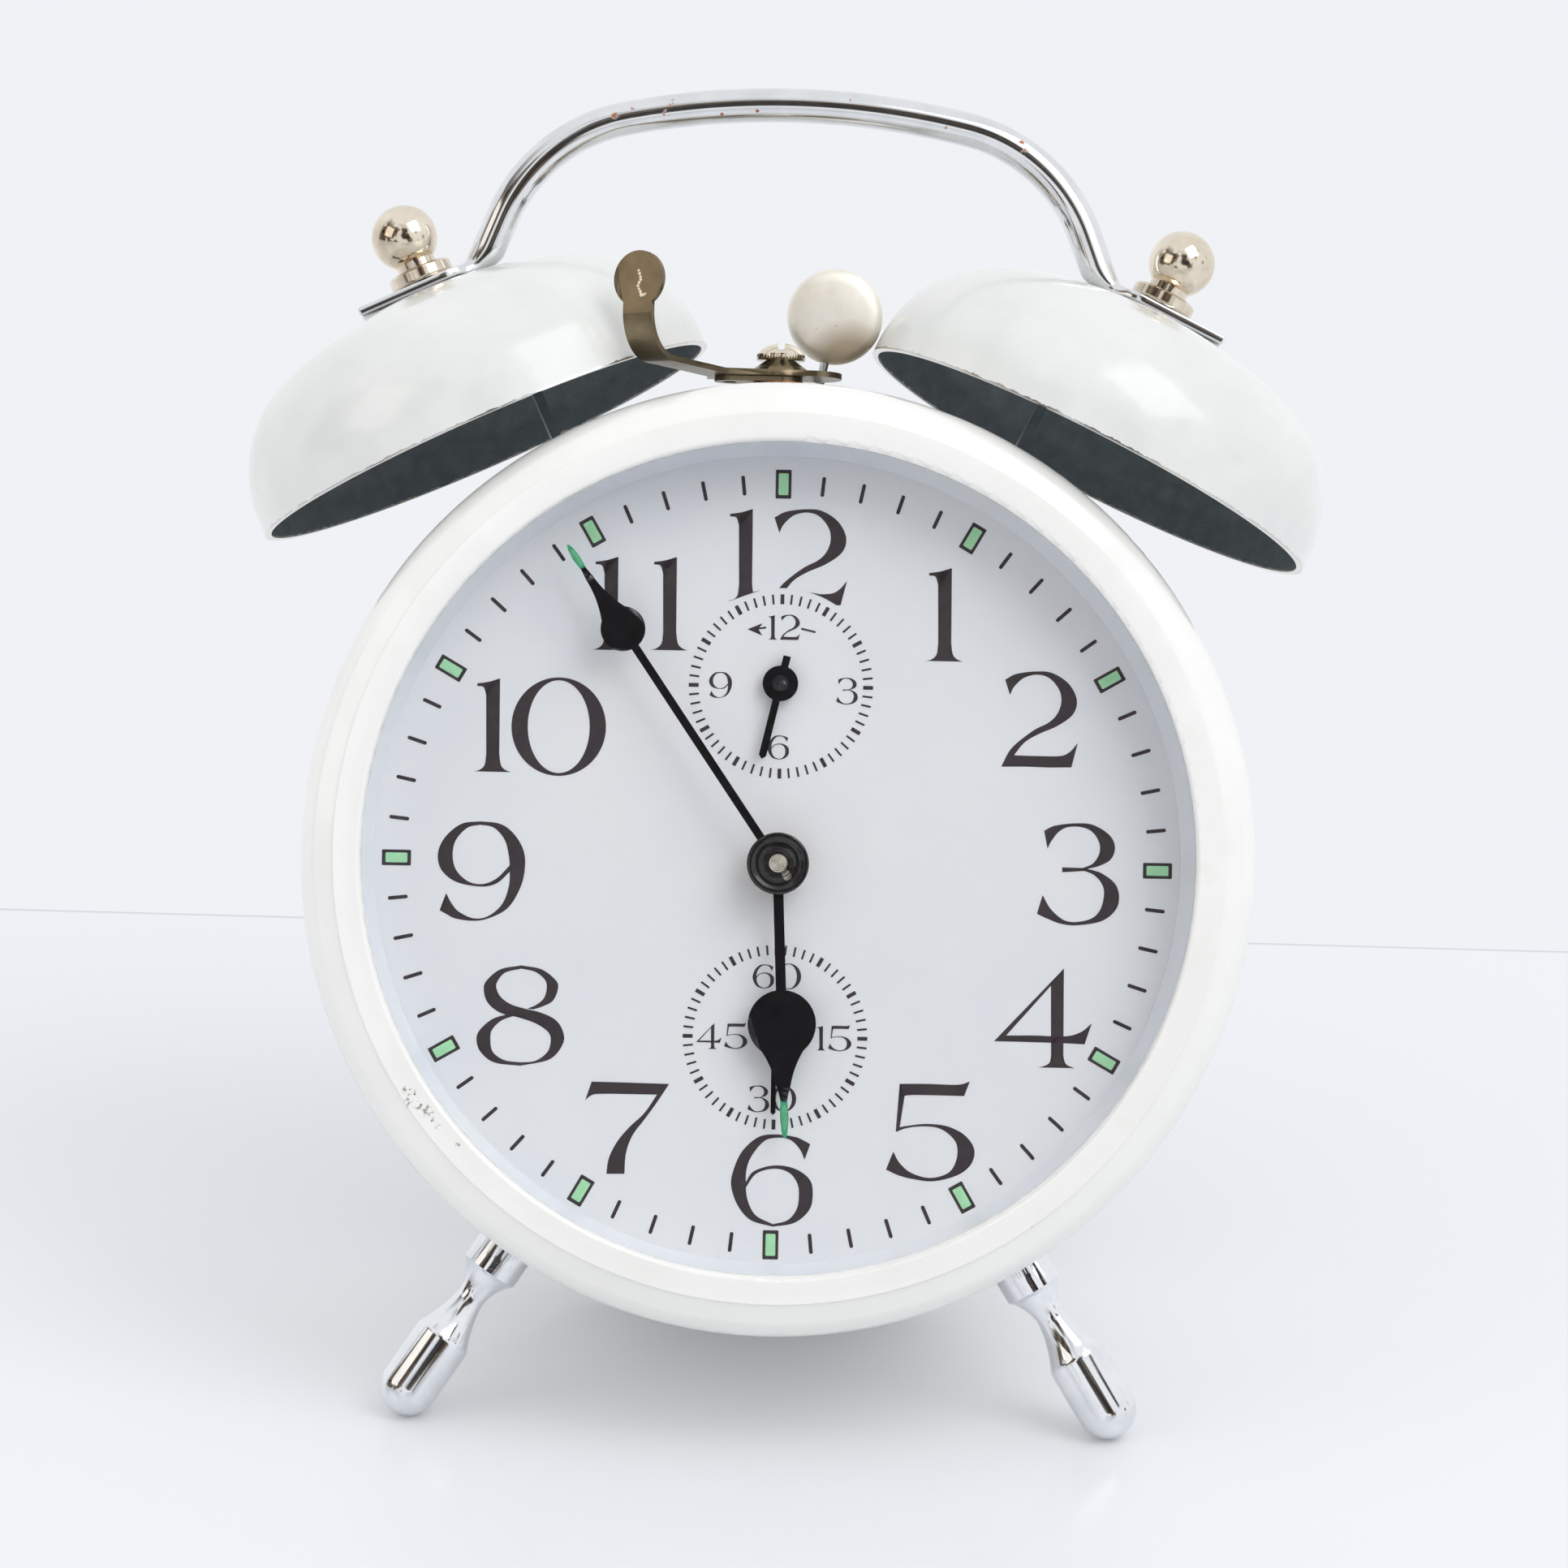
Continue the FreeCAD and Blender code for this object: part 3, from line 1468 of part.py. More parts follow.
def meshed(phase, teeth, start, end, other_teeth):
    """The phase of a gear whose gap meets the tooth of the gear that drives it."""
    way = direction(start, end)
    back = way + 180
    return back + (180 - float(teeth) * (phase - way)) / float(other_teeth)


PLATE_BACK = s.rear_plate_depth + s.plate_thickness


def motion_work():
    fast = 2 * s.motion_distance / (s.cannon_teeth + s.minute_wheel_teeth)
    slow = 2 * s.motion_distance / (s.minute_pinion_teeth + s.hour_teeth)
    level = s.minute_wheel_depth
    cannon_hole = s.centre_arbor_radius + s.press_fit
    cannon = gear(s.cannon_teeth, fast, level, s.thick_wheel, 0.0)
    cannon = cannon.fuse(rod(s.cannon_radius, s.minute_hand_depth, level + s.thick_wheel + 0.8))
    cannon = cannon.cut(rod(cannon_hole, s.centre_arbor_front, s.front_plate_depth))
    on_arbor("cannon_pinion", "centre", cannon)
    phase = meshed(0.0, s.cannon_teeth, "centre", "minute_wheel", s.minute_wheel_teeth)
    hole = s.train_arbor_radius + 0.2 + s.running_fit
    wheel = gear(s.minute_wheel_teeth, fast, level, s.thick_wheel, phase, None, 5)
    pinion_low = s.hour_wheel_depth - 0.3
    pinion = gear(s.minute_pinion_teeth, slow, pinion_low, level - pinion_low, 0.0)
    wheel = wheel.fuse(pinion).cut(rod(hole, 0, s.front_plate_depth))
    on_arbor("minute_wheel", "minute_wheel", wheel)
    phase = meshed(0.0, s.minute_pinion_teeth, "minute_wheel", "centre", s.hour_teeth)
    level = s.hour_wheel_depth
    wheel = gear(s.hour_teeth, slow, level, s.thick_wheel, phase, None, 5)
    wheel = wheel.fuse(rod(s.hour_pipe_radius, s.hour_hand_depth, level + s.thick_wheel + 0.6))
    wheel = wheel.cut(rod(s.cannon_radius + s.running_fit, s.centre_arbor_front, s.front_plate_depth))
    on_arbor("hour_wheel", "centre", wheel)
    phase = meshed(phase, s.hour_teeth, "centre", "alarm", s.hour_teeth)
    wheel = gear(s.hour_teeth, slow, level, s.thick_wheel, phase, s.alarm_arbor_radius + s.running_fit, 5)
    on_arbor("alarm_wheel", "alarm", wheel)
    arbor = rod(s.alarm_arbor_radius, s.alarm_hand_depth - 0.3, s.case_depth + s.alarm_knob_length)
    collar_low = level + s.thick_wheel + 2 * s.loose_fit
    collar_high = s.front_plate_depth - s.pinion_margin
    arbor = arbor.fuse(rod(s.alarm_arbor_radius * 2.2, collar_low, collar_high))
    on_arbor("alarm_arbor", "alarm", arbor)


def going_train():
    low = s.front_plate_depth
    thin = s.wheel_thickness
    leaves = s.leaf_count
    pinion_low = s.great_wheel_depth - 1.0
    centre = gear(s.centre_teeth, s.centre_module, s.centre_wheel_depth, thin, 0.0, None, 5)
    centre = centre.fuse(gear(s.centre_leaves, s.great_module, pinion_low, 3.2, 0.0))
    centre = centre.fuse(rod(s.centre_arbor_radius, s.centre_arbor_front, s.case_depth + s.knob_length))
    on_arbor("centre_wheel", "centre", centre)
    phase = meshed(0.0, s.centre_teeth, "centre", "third", leaves)
    arbor = rod(s.train_arbor_radius, low, PLATE_BACK)
    pinion = s.pinion_height
    under = s.pinion_margin
    third = arbor.fuse(gear(leaves, s.centre_module, s.centre_wheel_depth - under, pinion, phase))
    third = third.fuse(gear(s.third_teeth, s.third_module, s.third_wheel_depth, thin, 0.0, None, 5))
    on_arbor("third_wheel", "third", third)
    phase = meshed(0.0, s.third_teeth, "third", "fourth", leaves)
    arbor = rod(s.train_arbor_radius, s.seconds_hand_depth - 0.2, PLATE_BACK)
    fourth = arbor.fuse(gear(leaves, s.third_module, s.third_wheel_depth - under, pinion, phase))
    fourth = fourth.fuse(gear(s.fourth_teeth, s.fourth_module, s.fourth_wheel_depth, thin, 0.0, None, 5))
    on_arbor("fourth_wheel", "fourth", fourth)
    phase = meshed(0.0, s.fourth_teeth, "fourth", "escape", leaves)
    arbor = rod(s.train_arbor_radius, low, PLATE_BACK)
    escape = arbor.fuse(gear(leaves, s.fourth_module, s.fourth_wheel_depth - under, pinion, phase))
    teeth = star(s.escape_teeth, s.escape_radius, s.escape_tooth, s.escape_wheel_depth, thin, 0.35)
    escape = escape.fuse(teeth)
    on_arbor("escape_wheel", "escape", escape)


def winding(prefix, key, teeth, phase, spring_radius):
    """A great wheel with its click, the winding arbor with its ratchet, the mainspring and key."""
    level = s.great_wheel_depth
    thick = s.thick_wheel
    hole = s.winding_arbor_radius + s.running_fit
    wheel = gear(teeth, s.great_module, level, thick, phase, hole)
    ratchet_low = level + thick + 0.3
    reach = float(s.ratchet_radius) + 2.6
    pin = rod(0.7, level + 0.2, ratchet_low)
    pin.translate(Vector(reach, 0, 0))
    bored = wheel.cut(pin)
    on_arbor(prefix + "_great_wheel", key, bored)
    beak = (float(s.ratchet_radius) + 0.9, 2.6)
    click = bar((reach, 0), beak, 1.3, ratchet_low, 1.0)
    click = click.fuse(rod_at(0.69, reach, 0, level + 0.2, ratchet_low + 1.0))
    on_arbor(prefix + "_click", key, click)
    end = s.case_depth + s.cover_thickness + s.rear_gap + s.key_hub
    arbor = rod(s.winding_arbor_radius, s.front_plate_depth, end)
    arbor = arbor.fuse(star(s.ratchet_teeth, s.ratchet_radius, 0.9, ratchet_low, 1.0, 0.2))
    on_arbor(prefix + "_winding_arbor", key, arbor)
    coil = spiral(s.winding_arbor_radius + 0.5, spring_radius, s.spring_turns, s.spring_strip,
                  s.spring_front, s.spring_height)
    on_arbor(prefix + "_mainspring", key, coil)


def rod_at(radius, x, y, low, high):
    shape = rod(radius, low, high)
    shape.translate(Vector(x, y, 0))
    return shape


def winding_key(name, key):
    """A threaded hub with a flat thumb wing."""
    body = new_body(name)
    low = s.case_depth + s.cover_thickness + s.rear_gap
    high = low + s.key_hub
    hole = s.winding_arbor_radius + s.press_fit
    spin(body, [
        (hole, low),
        (s.key_hub_radius, low),
        (s.key_hub_radius, high + s.key_crown),
        (as_size(0), high + s.key_crown),
        (as_size(0), high + s.contact_gap),
        (hole, high + s.contact_gap),
    ])
    wing = new_sketch(body, "XZ_Plane")
    half = s.key_wing_half
    base = high + s.key_wing_sink
    tip = base + s.key_wing
    bend = s.key_wing * 0.45
    outline(wing, [
        (-(half - bend), base),
        (half - bend, base, bend),
        (half, base + bend),
        (half, tip - bend, bend),
        (half - bend, tip),
        (bend - half, tip, bend),
        (-half, tip - bend),
        (-half, base + bend, bend),
    ])
    feature(body, "Pad", wing, s.key_wing_thickness, midplane=True)
    turn = BACKWARD.multiply(Rotation(Vector(0, 0, 1), float(s.key_turn)))
    keep(name, body, place(ARBORS[key][0], 0, ARBORS[key][1], turn), MOVEMENT)


def knob(name, key, radius, length, arbor_radius):
    """A turned setting knob, grooved round its edge."""
    low = s.case_depth + s.cover_thickness + s.rear_gap
    high = low + length
    hole = arbor_radius + s.press_fit
    rib = s.knob_rib
    foot = s.knob_foot
    turned(name, [
        (hole, low),
        (radius * 0.6, low),
        (radius * 0.6, low + foot),
        (radius - rib, low + foot + rib),
        (radius, low + foot + 2 * rib),
        (radius, high - 2 * rib, 2 * rib),
        (radius - 2 * rib, high),
        (as_size(0), high),
        (as_size(0), s.case_depth + length + s.contact_gap),
        (hole, s.case_depth + length + s.contact_gap),
    ], place(ARBORS[key][0], 0, ARBORS[key][1], BACKWARD), MOVEMENT)


def striking():
    low = s.front_plate_depth
    phase = meshed(0.0, s.alarm_great_teeth, "alarm_great", "strike", s.strike_leaves)
    arbor = rod(s.strike_arbor_radius, low, PLATE_BACK)
    strike = arbor.fuse(gear(s.strike_leaves, s.great_module, s.great_wheel_depth - 0.6, 2.4, phase))
    teeth = star(s.strike_teeth, s.strike_radius, s.strike_tooth, s.strike_wheel_depth,
                 s.wheel_thickness, 0.3)
    strike = strike.fuse(teeth)
    on_arbor("strike_wheel", "strike", strike)
    arbor = rod(s.hammer_arbor_radius, low, PLATE_BACK)
    way = direction("hammer", "strike")
    for turn in (-28, 24):
        angle = math.radians(way + turn)
        tip = (float(s.anchor_reach) * math.cos(angle), float(s.anchor_reach) * math.sin(angle))
        arbor = arbor.fuse(bar((0, 0), tip, 1.8, s.strike_wheel_depth, s.wheel_thickness))
    on_arbor("hammer_arbor", "hammer", arbor)


def escapement():
    low = s.front_plate_depth
    thin = s.wheel_thickness
    level = s.escape_wheel_depth - 1.6
    arbor = rod(s.train_arbor_radius, low, PLATE_BACK)
    to_balance = math.radians(direction("pallet", "balance"))
    tip = (float(s.fork_length) * math.cos(to_balance), float(s.fork_length) * math.sin(to_balance))
    fork = arbor.fuse(bar((0, 0), tip, 1.0, level, thin))
    to_escape = direction("pallet", "escape")
    for turn in (-48, 48):
        angle = math.radians(to_escape + turn)
        end = (3.6 * math.cos(angle), 3.6 * math.sin(angle))
        fork = fork.fuse(bar((0, 0), end, 1.0, level, thin))
        fork = fork.fuse(rod_at(0.3, end[0], end[1], level, s.escape_wheel_depth + thin))
    on_arbor("pallet_fork", "pallet", fork)
    level = s.balance_depth
    staff = rod(s.train_arbor_radius, low, PLATE_BACK)
    rim = pipe(s.balance_radius, s.balance_radius - s.balance_rim, level, level + 1.4)
    middle = float(s.balance_radius - s.balance_rim * 0.5)
    spoke = bar((-middle, 0), (middle, 0), 1.4, level, 1.0)
    roller_low = s.escape_wheel_depth - s.roller_drop
    pin_low = roller_low + s.roller_height
    roller = rod(s.roller_radius, roller_low, pin_low)
    impulse = rod_at(0.25, 1.5, 0, pin_low, s.escape_wheel_depth - 0.6)
    balance = staff.fuse([rim, spoke, roller, impulse])
    on_arbor("balance_wheel", "balance", balance)
    coil = spiral(s.train_arbor_radius + 0.5, s.hairspring_radius, s.hairspring_turns,
                  s.hairspring_strip, s.rear_plate_depth - s.hairspring_gap, s.hairspring_height)
    on_arbor("hairspring", "balance", coil)
    low = PLATE_BACK + 0.3
    ring = pipe(s.regulator_stub_radius + 1.6, s.regulator_stub_radius + s.running_fit, low, low + 1.0)
    hub = float(s.regulator_stub_radius) + 1.0
    reach = float(s.regulator_reach)
    arm = bar((hub, 0), (reach, 0), 1.8, low, 1.0).cut(rod(hub, 0, s.case_depth))
    end = s.case_depth + s.cover_thickness
    lever = ring.fuse([arm, rod_at(0.8, reach, 0, low, end + 2.4)])
    lever = lever.fuse(rod_at(1.2, reach, 0, end + 0.6, end + 2.4))
    on_arbor("regulator_lever", "balance", lever)


# Hands, drawn pointing up and turned to their time

def tapered_hand(name, depth, bearing, hole, half, length, disc_at, disc, lume_at, group):
    """A boss, a thin shaft, a pear-shaped disc and a luminous tip."""
    body = new_body(name)
    sketch = new_sketch(body)
    boss = s.hand_boss_radius
    tip = half * 1.1
    wing = 52.0
    shaft_start = root(boss * boss - half * half)
    disc_start = disc_at - root(disc * disc - half * half)
    side = disc * cosine(wing)
    shoulder = disc_at + disc * sine(wing)
    sweep = (lume_at - shoulder) * 1.9
    right = [
        (as_size(0), -boss, boss),
        (half, shaft_start),
        (half, disc_start, disc),
        (side, shoulder, -sweep),
        (tip, lume_at),
        (tip * 0.8, length - tip * 0.8, tip * 0.9),
    ]
    left = [
        (-tip * 0.8, length - tip * 0.8),
        (-tip, lume_at, -sweep),
        (-side, shoulder, disc),
        (-half, disc_start),
        (-half, shaft_start, boss),
    ]
    outline(sketch, right + left)
    feature(body, "Pad", sketch, s.hand_thickness, backward=True)
    cut_holes(body, [(as_size(0), as_size(0), hole)], s.hand_thickness)
    turn = Placement(Vector(), Rotation(ABOUT_Y, float(bearing)))
    keep(name, body, turn.multiply(place(0, depth, 0, FORWARD)), group)


def small_hand(name, depth, bearing, hole, half, length, tail, boss, height):
    """A small plain hand: a boss with a pointer and a tail."""
    body = new_body(name)
    sketch = new_sketch(body)
    start = root(boss * boss - half * half)
    outline(sketch, [
        (-half, -tail),
        (half, -tail),
        (half, -start, boss),
        (half, start),
        (half, length - half),
        (as_size(0), length),
        (-half, length - half),
        (-half, start, boss),
        (-half, -start),
    ])
    feature(body, "Pad", sketch, s.small_hand_thickness, backward=True)
    cut_holes(body, [(as_size(0), as_size(0), hole)], s.small_hand_thickness)
    turn = Placement(Vector(0, 0, float(height)), Rotation(ABOUT_Y, float(bearing)))
    keep(name, body, turn.multiply(place(0, depth, 0, FORWARD)), MOVEMENT)


def hands():
    tapered_hand("minute_hand", s.minute_hand_depth, s.minute_rest, s.cannon_radius + s.press_fit,
                 s.minute_half_width, s.minute_length, s.minute_disc_at, s.minute_disc_radius,
                 s.minute_lume_at, MOVEMENT)
    tapered_hand("hour_hand", s.hour_hand_depth, s.hour_rest, s.hour_pipe_radius + s.press_fit,
                 s.hour_half_width, s.hour_length, s.hour_disc_at, s.hour_disc_radius,
                 s.hour_lume_at, MOVEMENT)
    small_hand("alarm_hand", s.alarm_hand_depth, s.alarm_rest, s.alarm_arbor_radius + s.press_fit,
               s.alarm_half_width, s.alarm_length, s.alarm_tail, s.alarm_boss_radius, s.alarm_height)
    small_hand("seconds_hand", s.seconds_hand_depth, s.seconds_rest, s.train_arbor_radius + s.press_fit,
               s.seconds_half_width, s.seconds_length, s.seconds_tail, s.seconds_boss_radius,
               s.seconds_height)


def drill(body, start, way, radius, length, skip=0.0):
    """A round hole bored from a point along a direction, through whatever it meets."""
    hole = body.newObject("PartDesign::SubtractiveCylinder", "Bore")
    hole.AttachmentSupport = [(plane(body, "XY_Plane"), "")]
    hole.MapMode = "FlatFace"
    hole.AttachmentOffset = Placement(start + way * float(skip), Rotation(Vector(0, 0, 1), way))
    hole.setExpression("Radius", as_size(radius).formula)
    hole.setExpression("Height", (as_size(length) - skip).formula)
    return hole


def build_all():
    case_shell()
    bezel()
    glazing()
    dial_plate()
    back_cover()
    set_of("back_cover_screws", [cover_screw(x, z) for x, z in pillar_spots()], MOVEMENT)
    for side in ("left", "right"):
        leg(side)
        bell(side)
        bell_bracket(side)
        ball_nut(side)
    set_of("hexagon_nuts", [leg_nut("left"), leg_nut("right"), stud_nut("left"), stud_nut("right")])
    set_of("bell_studs", [bell_stud("left"), bell_stud("right")])
    set_of("bracket_screws", [foot_screw("left"), foot_screw("right")])
    handle()
    hammer()
    stop_lever()
    lever_stack()
    plates()
    posts = [pillar(x, z) for x, z in pillar_spots()] + [post(x, z) for x, z in pillar_spots()]
    set_of("pillars", posts, MOVEMENT)
    motion_work()
    going_train()
    phase = meshed(0.0, s.centre_leaves, "centre", "great", s.great_teeth)
    winding("time", "great", s.great_teeth, phase, s.spring_radius)
    winding("alarm", "alarm_great", s.alarm_great_teeth, 0.0, s.alarm_spring_radius)
    winding_key("time_key", "great")
    winding_key("alarm_key", "alarm_great")
    knob("time_set_knob", "centre", s.knob_radius, s.knob_length, s.centre_arbor_radius)
    knob("alarm_set_knob", "alarm", s.alarm_knob_radius, s.alarm_knob_length, s.alarm_arbor_radius)
    striking()
    escapement()
    hands()


def standing_pose():
    """Lean the clock back until both leg tips and the case's rear edge are on the floor."""
    ball = float(s.leg_ball_radius)
    edge = float(s.rear_edge_round)
    tip = float(s.case_radius + s.leg_length) - ball
    drop = tip * math.cos(math.radians(float(s.leg_angle))) - (float(s.case_radius) - edge)
    run = float(s.case_depth) - edge - float(s.leg_depth)
    lean = math.atan2(drop, run) + math.asin((ball - edge) / math.hypot(run, drop))
    turn = Rotation(Vector(1, 0, 0), -math.degrees(lean))
    edge_centre = turn.multVec(Vector(0, float(s.case_depth) - edge, edge - float(s.case_radius)))
    return Placement(Vector(0, 0, edge - edge_centre.z), turn)


def check(item):
    for state in item.State:
        if state in ("Invalid", "Error"):
            raise RuntimeError(f"{item.Label} did not build: {item.State}")


build_all()
document.recompute()
STANCE = standing_pose()
for item in NODES.values():
    item.Placement = STANCE.multiply(item.Placement)
document.recompute()
box = Part.makeCompound([item.Shape for item in NODES.values()]).optimalBoundingBox(False, False)
middle = Vector(-box.Center.x, -box.Center.y, -box.ZMin)
for item in NODES.values():
    item.Placement = Placement(middle, Rotation()).multiply(item.Placement)
STANCE = Placement(middle, Rotation()).multiply(STANCE)
document.recompute()

os.makedirs("parts", exist_ok=True)
for item in document.Objects:
    check(item)
for name, item in NODES.items():
    shape = item.Shape
    if shape.isNull() or not shape.isValid():
        raise RuntimeError(f"{name} has no valid shape")
for name, item in NODES.items():
    item.Shape.exportStep(f"parts/{name}.step")
    print(name, len(item.Shape.Solids), round(item.Shape.Volume, 2))
print("nodes", len(NODES), "box", box)
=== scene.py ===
# %% [markdown]
# # A twin-bell alarm clock, dressed
# The imported clock comes in as a fixed frame: case, bells, handle, hands and movement, each
# on the body that carries it. What is added here is what a solid model lacks: finishes,
# the printed dial, the luminous paint and the wear of a clock that has been handled.
# %% The frame
import json
import math

import bmesh
import bpy
import numpy as np
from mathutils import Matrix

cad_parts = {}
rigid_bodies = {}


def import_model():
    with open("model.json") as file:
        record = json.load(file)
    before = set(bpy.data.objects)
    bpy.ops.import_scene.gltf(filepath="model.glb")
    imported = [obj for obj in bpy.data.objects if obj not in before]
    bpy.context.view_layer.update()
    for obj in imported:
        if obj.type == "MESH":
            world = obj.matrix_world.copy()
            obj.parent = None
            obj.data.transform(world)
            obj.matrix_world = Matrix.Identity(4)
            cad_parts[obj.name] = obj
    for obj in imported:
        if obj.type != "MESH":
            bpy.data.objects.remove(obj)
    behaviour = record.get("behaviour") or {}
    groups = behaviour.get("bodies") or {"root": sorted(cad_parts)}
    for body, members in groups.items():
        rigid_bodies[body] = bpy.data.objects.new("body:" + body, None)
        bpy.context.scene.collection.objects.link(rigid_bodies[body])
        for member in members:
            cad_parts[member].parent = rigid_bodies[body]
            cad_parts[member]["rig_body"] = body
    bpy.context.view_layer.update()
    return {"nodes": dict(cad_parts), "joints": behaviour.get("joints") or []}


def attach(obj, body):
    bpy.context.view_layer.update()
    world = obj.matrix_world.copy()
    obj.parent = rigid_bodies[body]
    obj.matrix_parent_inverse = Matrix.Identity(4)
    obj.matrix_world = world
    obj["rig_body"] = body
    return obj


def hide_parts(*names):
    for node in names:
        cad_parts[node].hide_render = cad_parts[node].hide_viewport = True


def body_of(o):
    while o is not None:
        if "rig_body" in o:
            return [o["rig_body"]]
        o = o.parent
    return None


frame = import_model()
nodes = frame["nodes"]
bpy.context.scene.view_settings.view_transform = "Standard"
MM = 0.001

# %% [markdown]
# ## The clock's own axes
# The clock leans back on its case, so its dial is not upright. Everything on the dial is
# easier to place in the clock's own axes: x to the right, y backwards along the arbors and
# z up the dial. The minute hand's joint gives the direction of the arbors, and the other
# two axes follow from it.
# %% From the clock's axes to the room's
joint_of = {joint["name"]: joint for joint in frame["joints"]}
ACROSS = np.array([1.0, 0.0, 0.0])
BACKWARD = np.array(joint_of["minute_turn"]["axis"], float)
UPWARD = np.cross(ACROSS, BACKWARD)
CLOCK_AXES = np.stack([ACROSS, BACKWARD, UPWARD])
DIAL_CENTRE_MM = np.array([0.0, -22.932, 67.988])
MOVEMENT_TURN = math.radians(-0.9)


def in_clock(points):
    """Points in the clock's axes, in mm, as places in the room, in metres:
    the dial's centre, plus x steps across, y steps backward and z steps upward."""
    return (np.asarray(points, float) @ CLOCK_AXES + DIAL_CENTRE_MM) * MM


def turned_to(flat, angle):
    """Points (x, z) turned clockwise about the dial's centre by an angle."""
    cos, sin = math.cos(angle), math.sin(angle)
    return np.asarray(flat, float) @ np.array([[cos, -sin], [sin, cos]])


def on_dial(flat, depth):
    """Points (x, z) drawn on the dial, turned with the movement, at their depth."""
    x, z = turned_to(flat, MOVEMENT_TURN).T
    return in_clock(np.stack([x, np.full(len(x), depth), z], -1))


print("the dial leans back by", round(math.degrees(math.asin(-BACKWARD[2])), 2), "degrees")

# %% [markdown]
# ## The camera
# The picture was taken from just in front of the dial and a little off centre. A long lens
# at 0.6 m gives the same flat perspective, and a slight turn about the line of sight gives
# the slight lean of the clock in the picture.
# %% Camera
PICTURE = 1932
FOCAL_PIXELS = 6112
DISTANCE_MM = 600
LOOK_AT_MM = (-14.74, 0, -0.61)
SIDE_ANGLE, RISE_ANGLE, ROLL = (math.radians(a) for a in (0.01, -0.97, 1.92))
SHIFT_PIXELS = (159, 100)


def unit(vector):
    """The vector made one long."""
    return vector / np.linalg.norm(vector)


def in_room(name, data):
    """A new object in the scene, at its origin."""
    holder = bpy.data.objects.new(name, data)
    bpy.context.scene.collection.objects.link(holder)
    return holder


def stand(holder, right, above, toward, place):
    """Places an object, with its own x, y and z pointing right, above and toward."""
    turn = np.eye(4)
    turn[:3] = np.stack([right, above, toward, place], -1)
    holder.matrix_world = turn.T.tolist()


toward_camera = unit(np.array([math.sin(SIDE_ANGLE) * math.cos(RISE_ANGLE),
                               -math.cos(SIDE_ANGLE) * math.cos(RISE_ANGLE),
                               math.sin(RISE_ANGLE)]) @ CLOCK_AXES)
right = unit(np.cross(-toward_camera, UPWARD))
above = np.cross(right, -toward_camera)
camera = in_room("camera", bpy.data.cameras.new("camera"))
camera.data.sensor_width = 36
camera.data.lens = camera.data.sensor_width * FOCAL_PIXELS / PICTURE
camera.data.shift_x, camera.data.shift_y = (pixels / PICTURE for pixels in SHIFT_PIXELS)
camera.data.clip_start = 0.01
camera_place = in_clock([LOOK_AT_MM])[0] + toward_camera * DISTANCE_MM * MM
stand(camera, math.cos(ROLL) * right + math.sin(ROLL) * above,
      math.cos(ROLL) * above - math.sin(ROLL) * right, toward_camera, camera_place)
bpy.context.scene.camera = camera
print("the camera stands at", np.round(camera_place, 3))

# %% [markdown]
# ## Helpers for colour and nodes
# Colours are written as they look on a screen, and one function turns them into the
# linear values that light is worked out in. One small function adds any shader node, wires
# it and gives back its output, so that a material reads from top to bottom like a recipe:
# blank begins it, layers of colour are laid over each other, and finished ends it.
# %% Colour and nodes
def colour(code):
    """An sRGB hex code as linear red, green, blue and alpha."""
    srgb = np.array([int(code[i:i + 2], 16) for i in (1, 3, 5)]) / 255
    linear = np.where(srgb <= 0.04045, srgb / 12.92, ((srgb + 0.055) / 1.055) ** 2.4)
    return (*map(float, linear), 1.0)


def add(tree, kind, sockets=None, out=None, **settings):
    """One new shader node with its settings and links, given back as the output called
    out, or else as the first one that its settings leave in use. A socket takes a number,
    a hex colour or another node's output."""
    node = tree.nodes.new("ShaderNode" + kind)
    for name, value in settings.items():
        setattr(node, name, value)
    for name, value in (sockets or {}).items():
        if isinstance(value, bpy.types.NodeSocket):
            tree.links.new(value, node.inputs[name])
        else:
            node.inputs[name].default_value = colour(value) if isinstance(value, str) else value
    return node.outputs[out] if out else next((end for end in node.outputs if end.enabled), None)


# A Mix node's colour sockets share their names with its other kinds, so they go by number.
BELOW, OVER = 6, 7


def blank(name):
    """A new empty material, its node tree, and the place on the object in metres."""
    material = bpy.data.materials.new(name)
    material.use_nodes = True
    material.node_tree.nodes.clear()
    return material, material.node_tree, add(material.node_tree, "TexCoord", out="Object")


def layered(tree, skin, *layers):
    """A colour with others laid over it, each (share, colour) by its share from 0 to 1."""
    for share, code in layers:
        skin = add(tree, "Mix", {"Factor": share, BELOW: skin, OVER: code}, data_type="RGBA")
    return skin


def finished(material, height, depth_mm, sockets):
    """The material with its surface: these sockets, and relief depth_mm deep."""
    tree = material.node_tree
    relief = add(tree, "Bump", {"Height": height, "Distance": depth_mm * MM})
    surface = add(tree, "BsdfPrincipled", {**sockets, "Normal": relief})
    add(tree, "OutputMaterial", {"Surface": surface})
    return material


def seen_directly(tree):
    """1 for a ray from the camera, a mirror or through glass, and 0 for one that lights."""
    seen = 0.0
    for ray in ("Is Camera Ray", "Is Glossy Ray", "Is Transmission Ray"):
        seen = add(tree, "Math", {0: seen, 1: add(tree, "LightPath", out=ray)}, operation="MAXIMUM")
    return seen


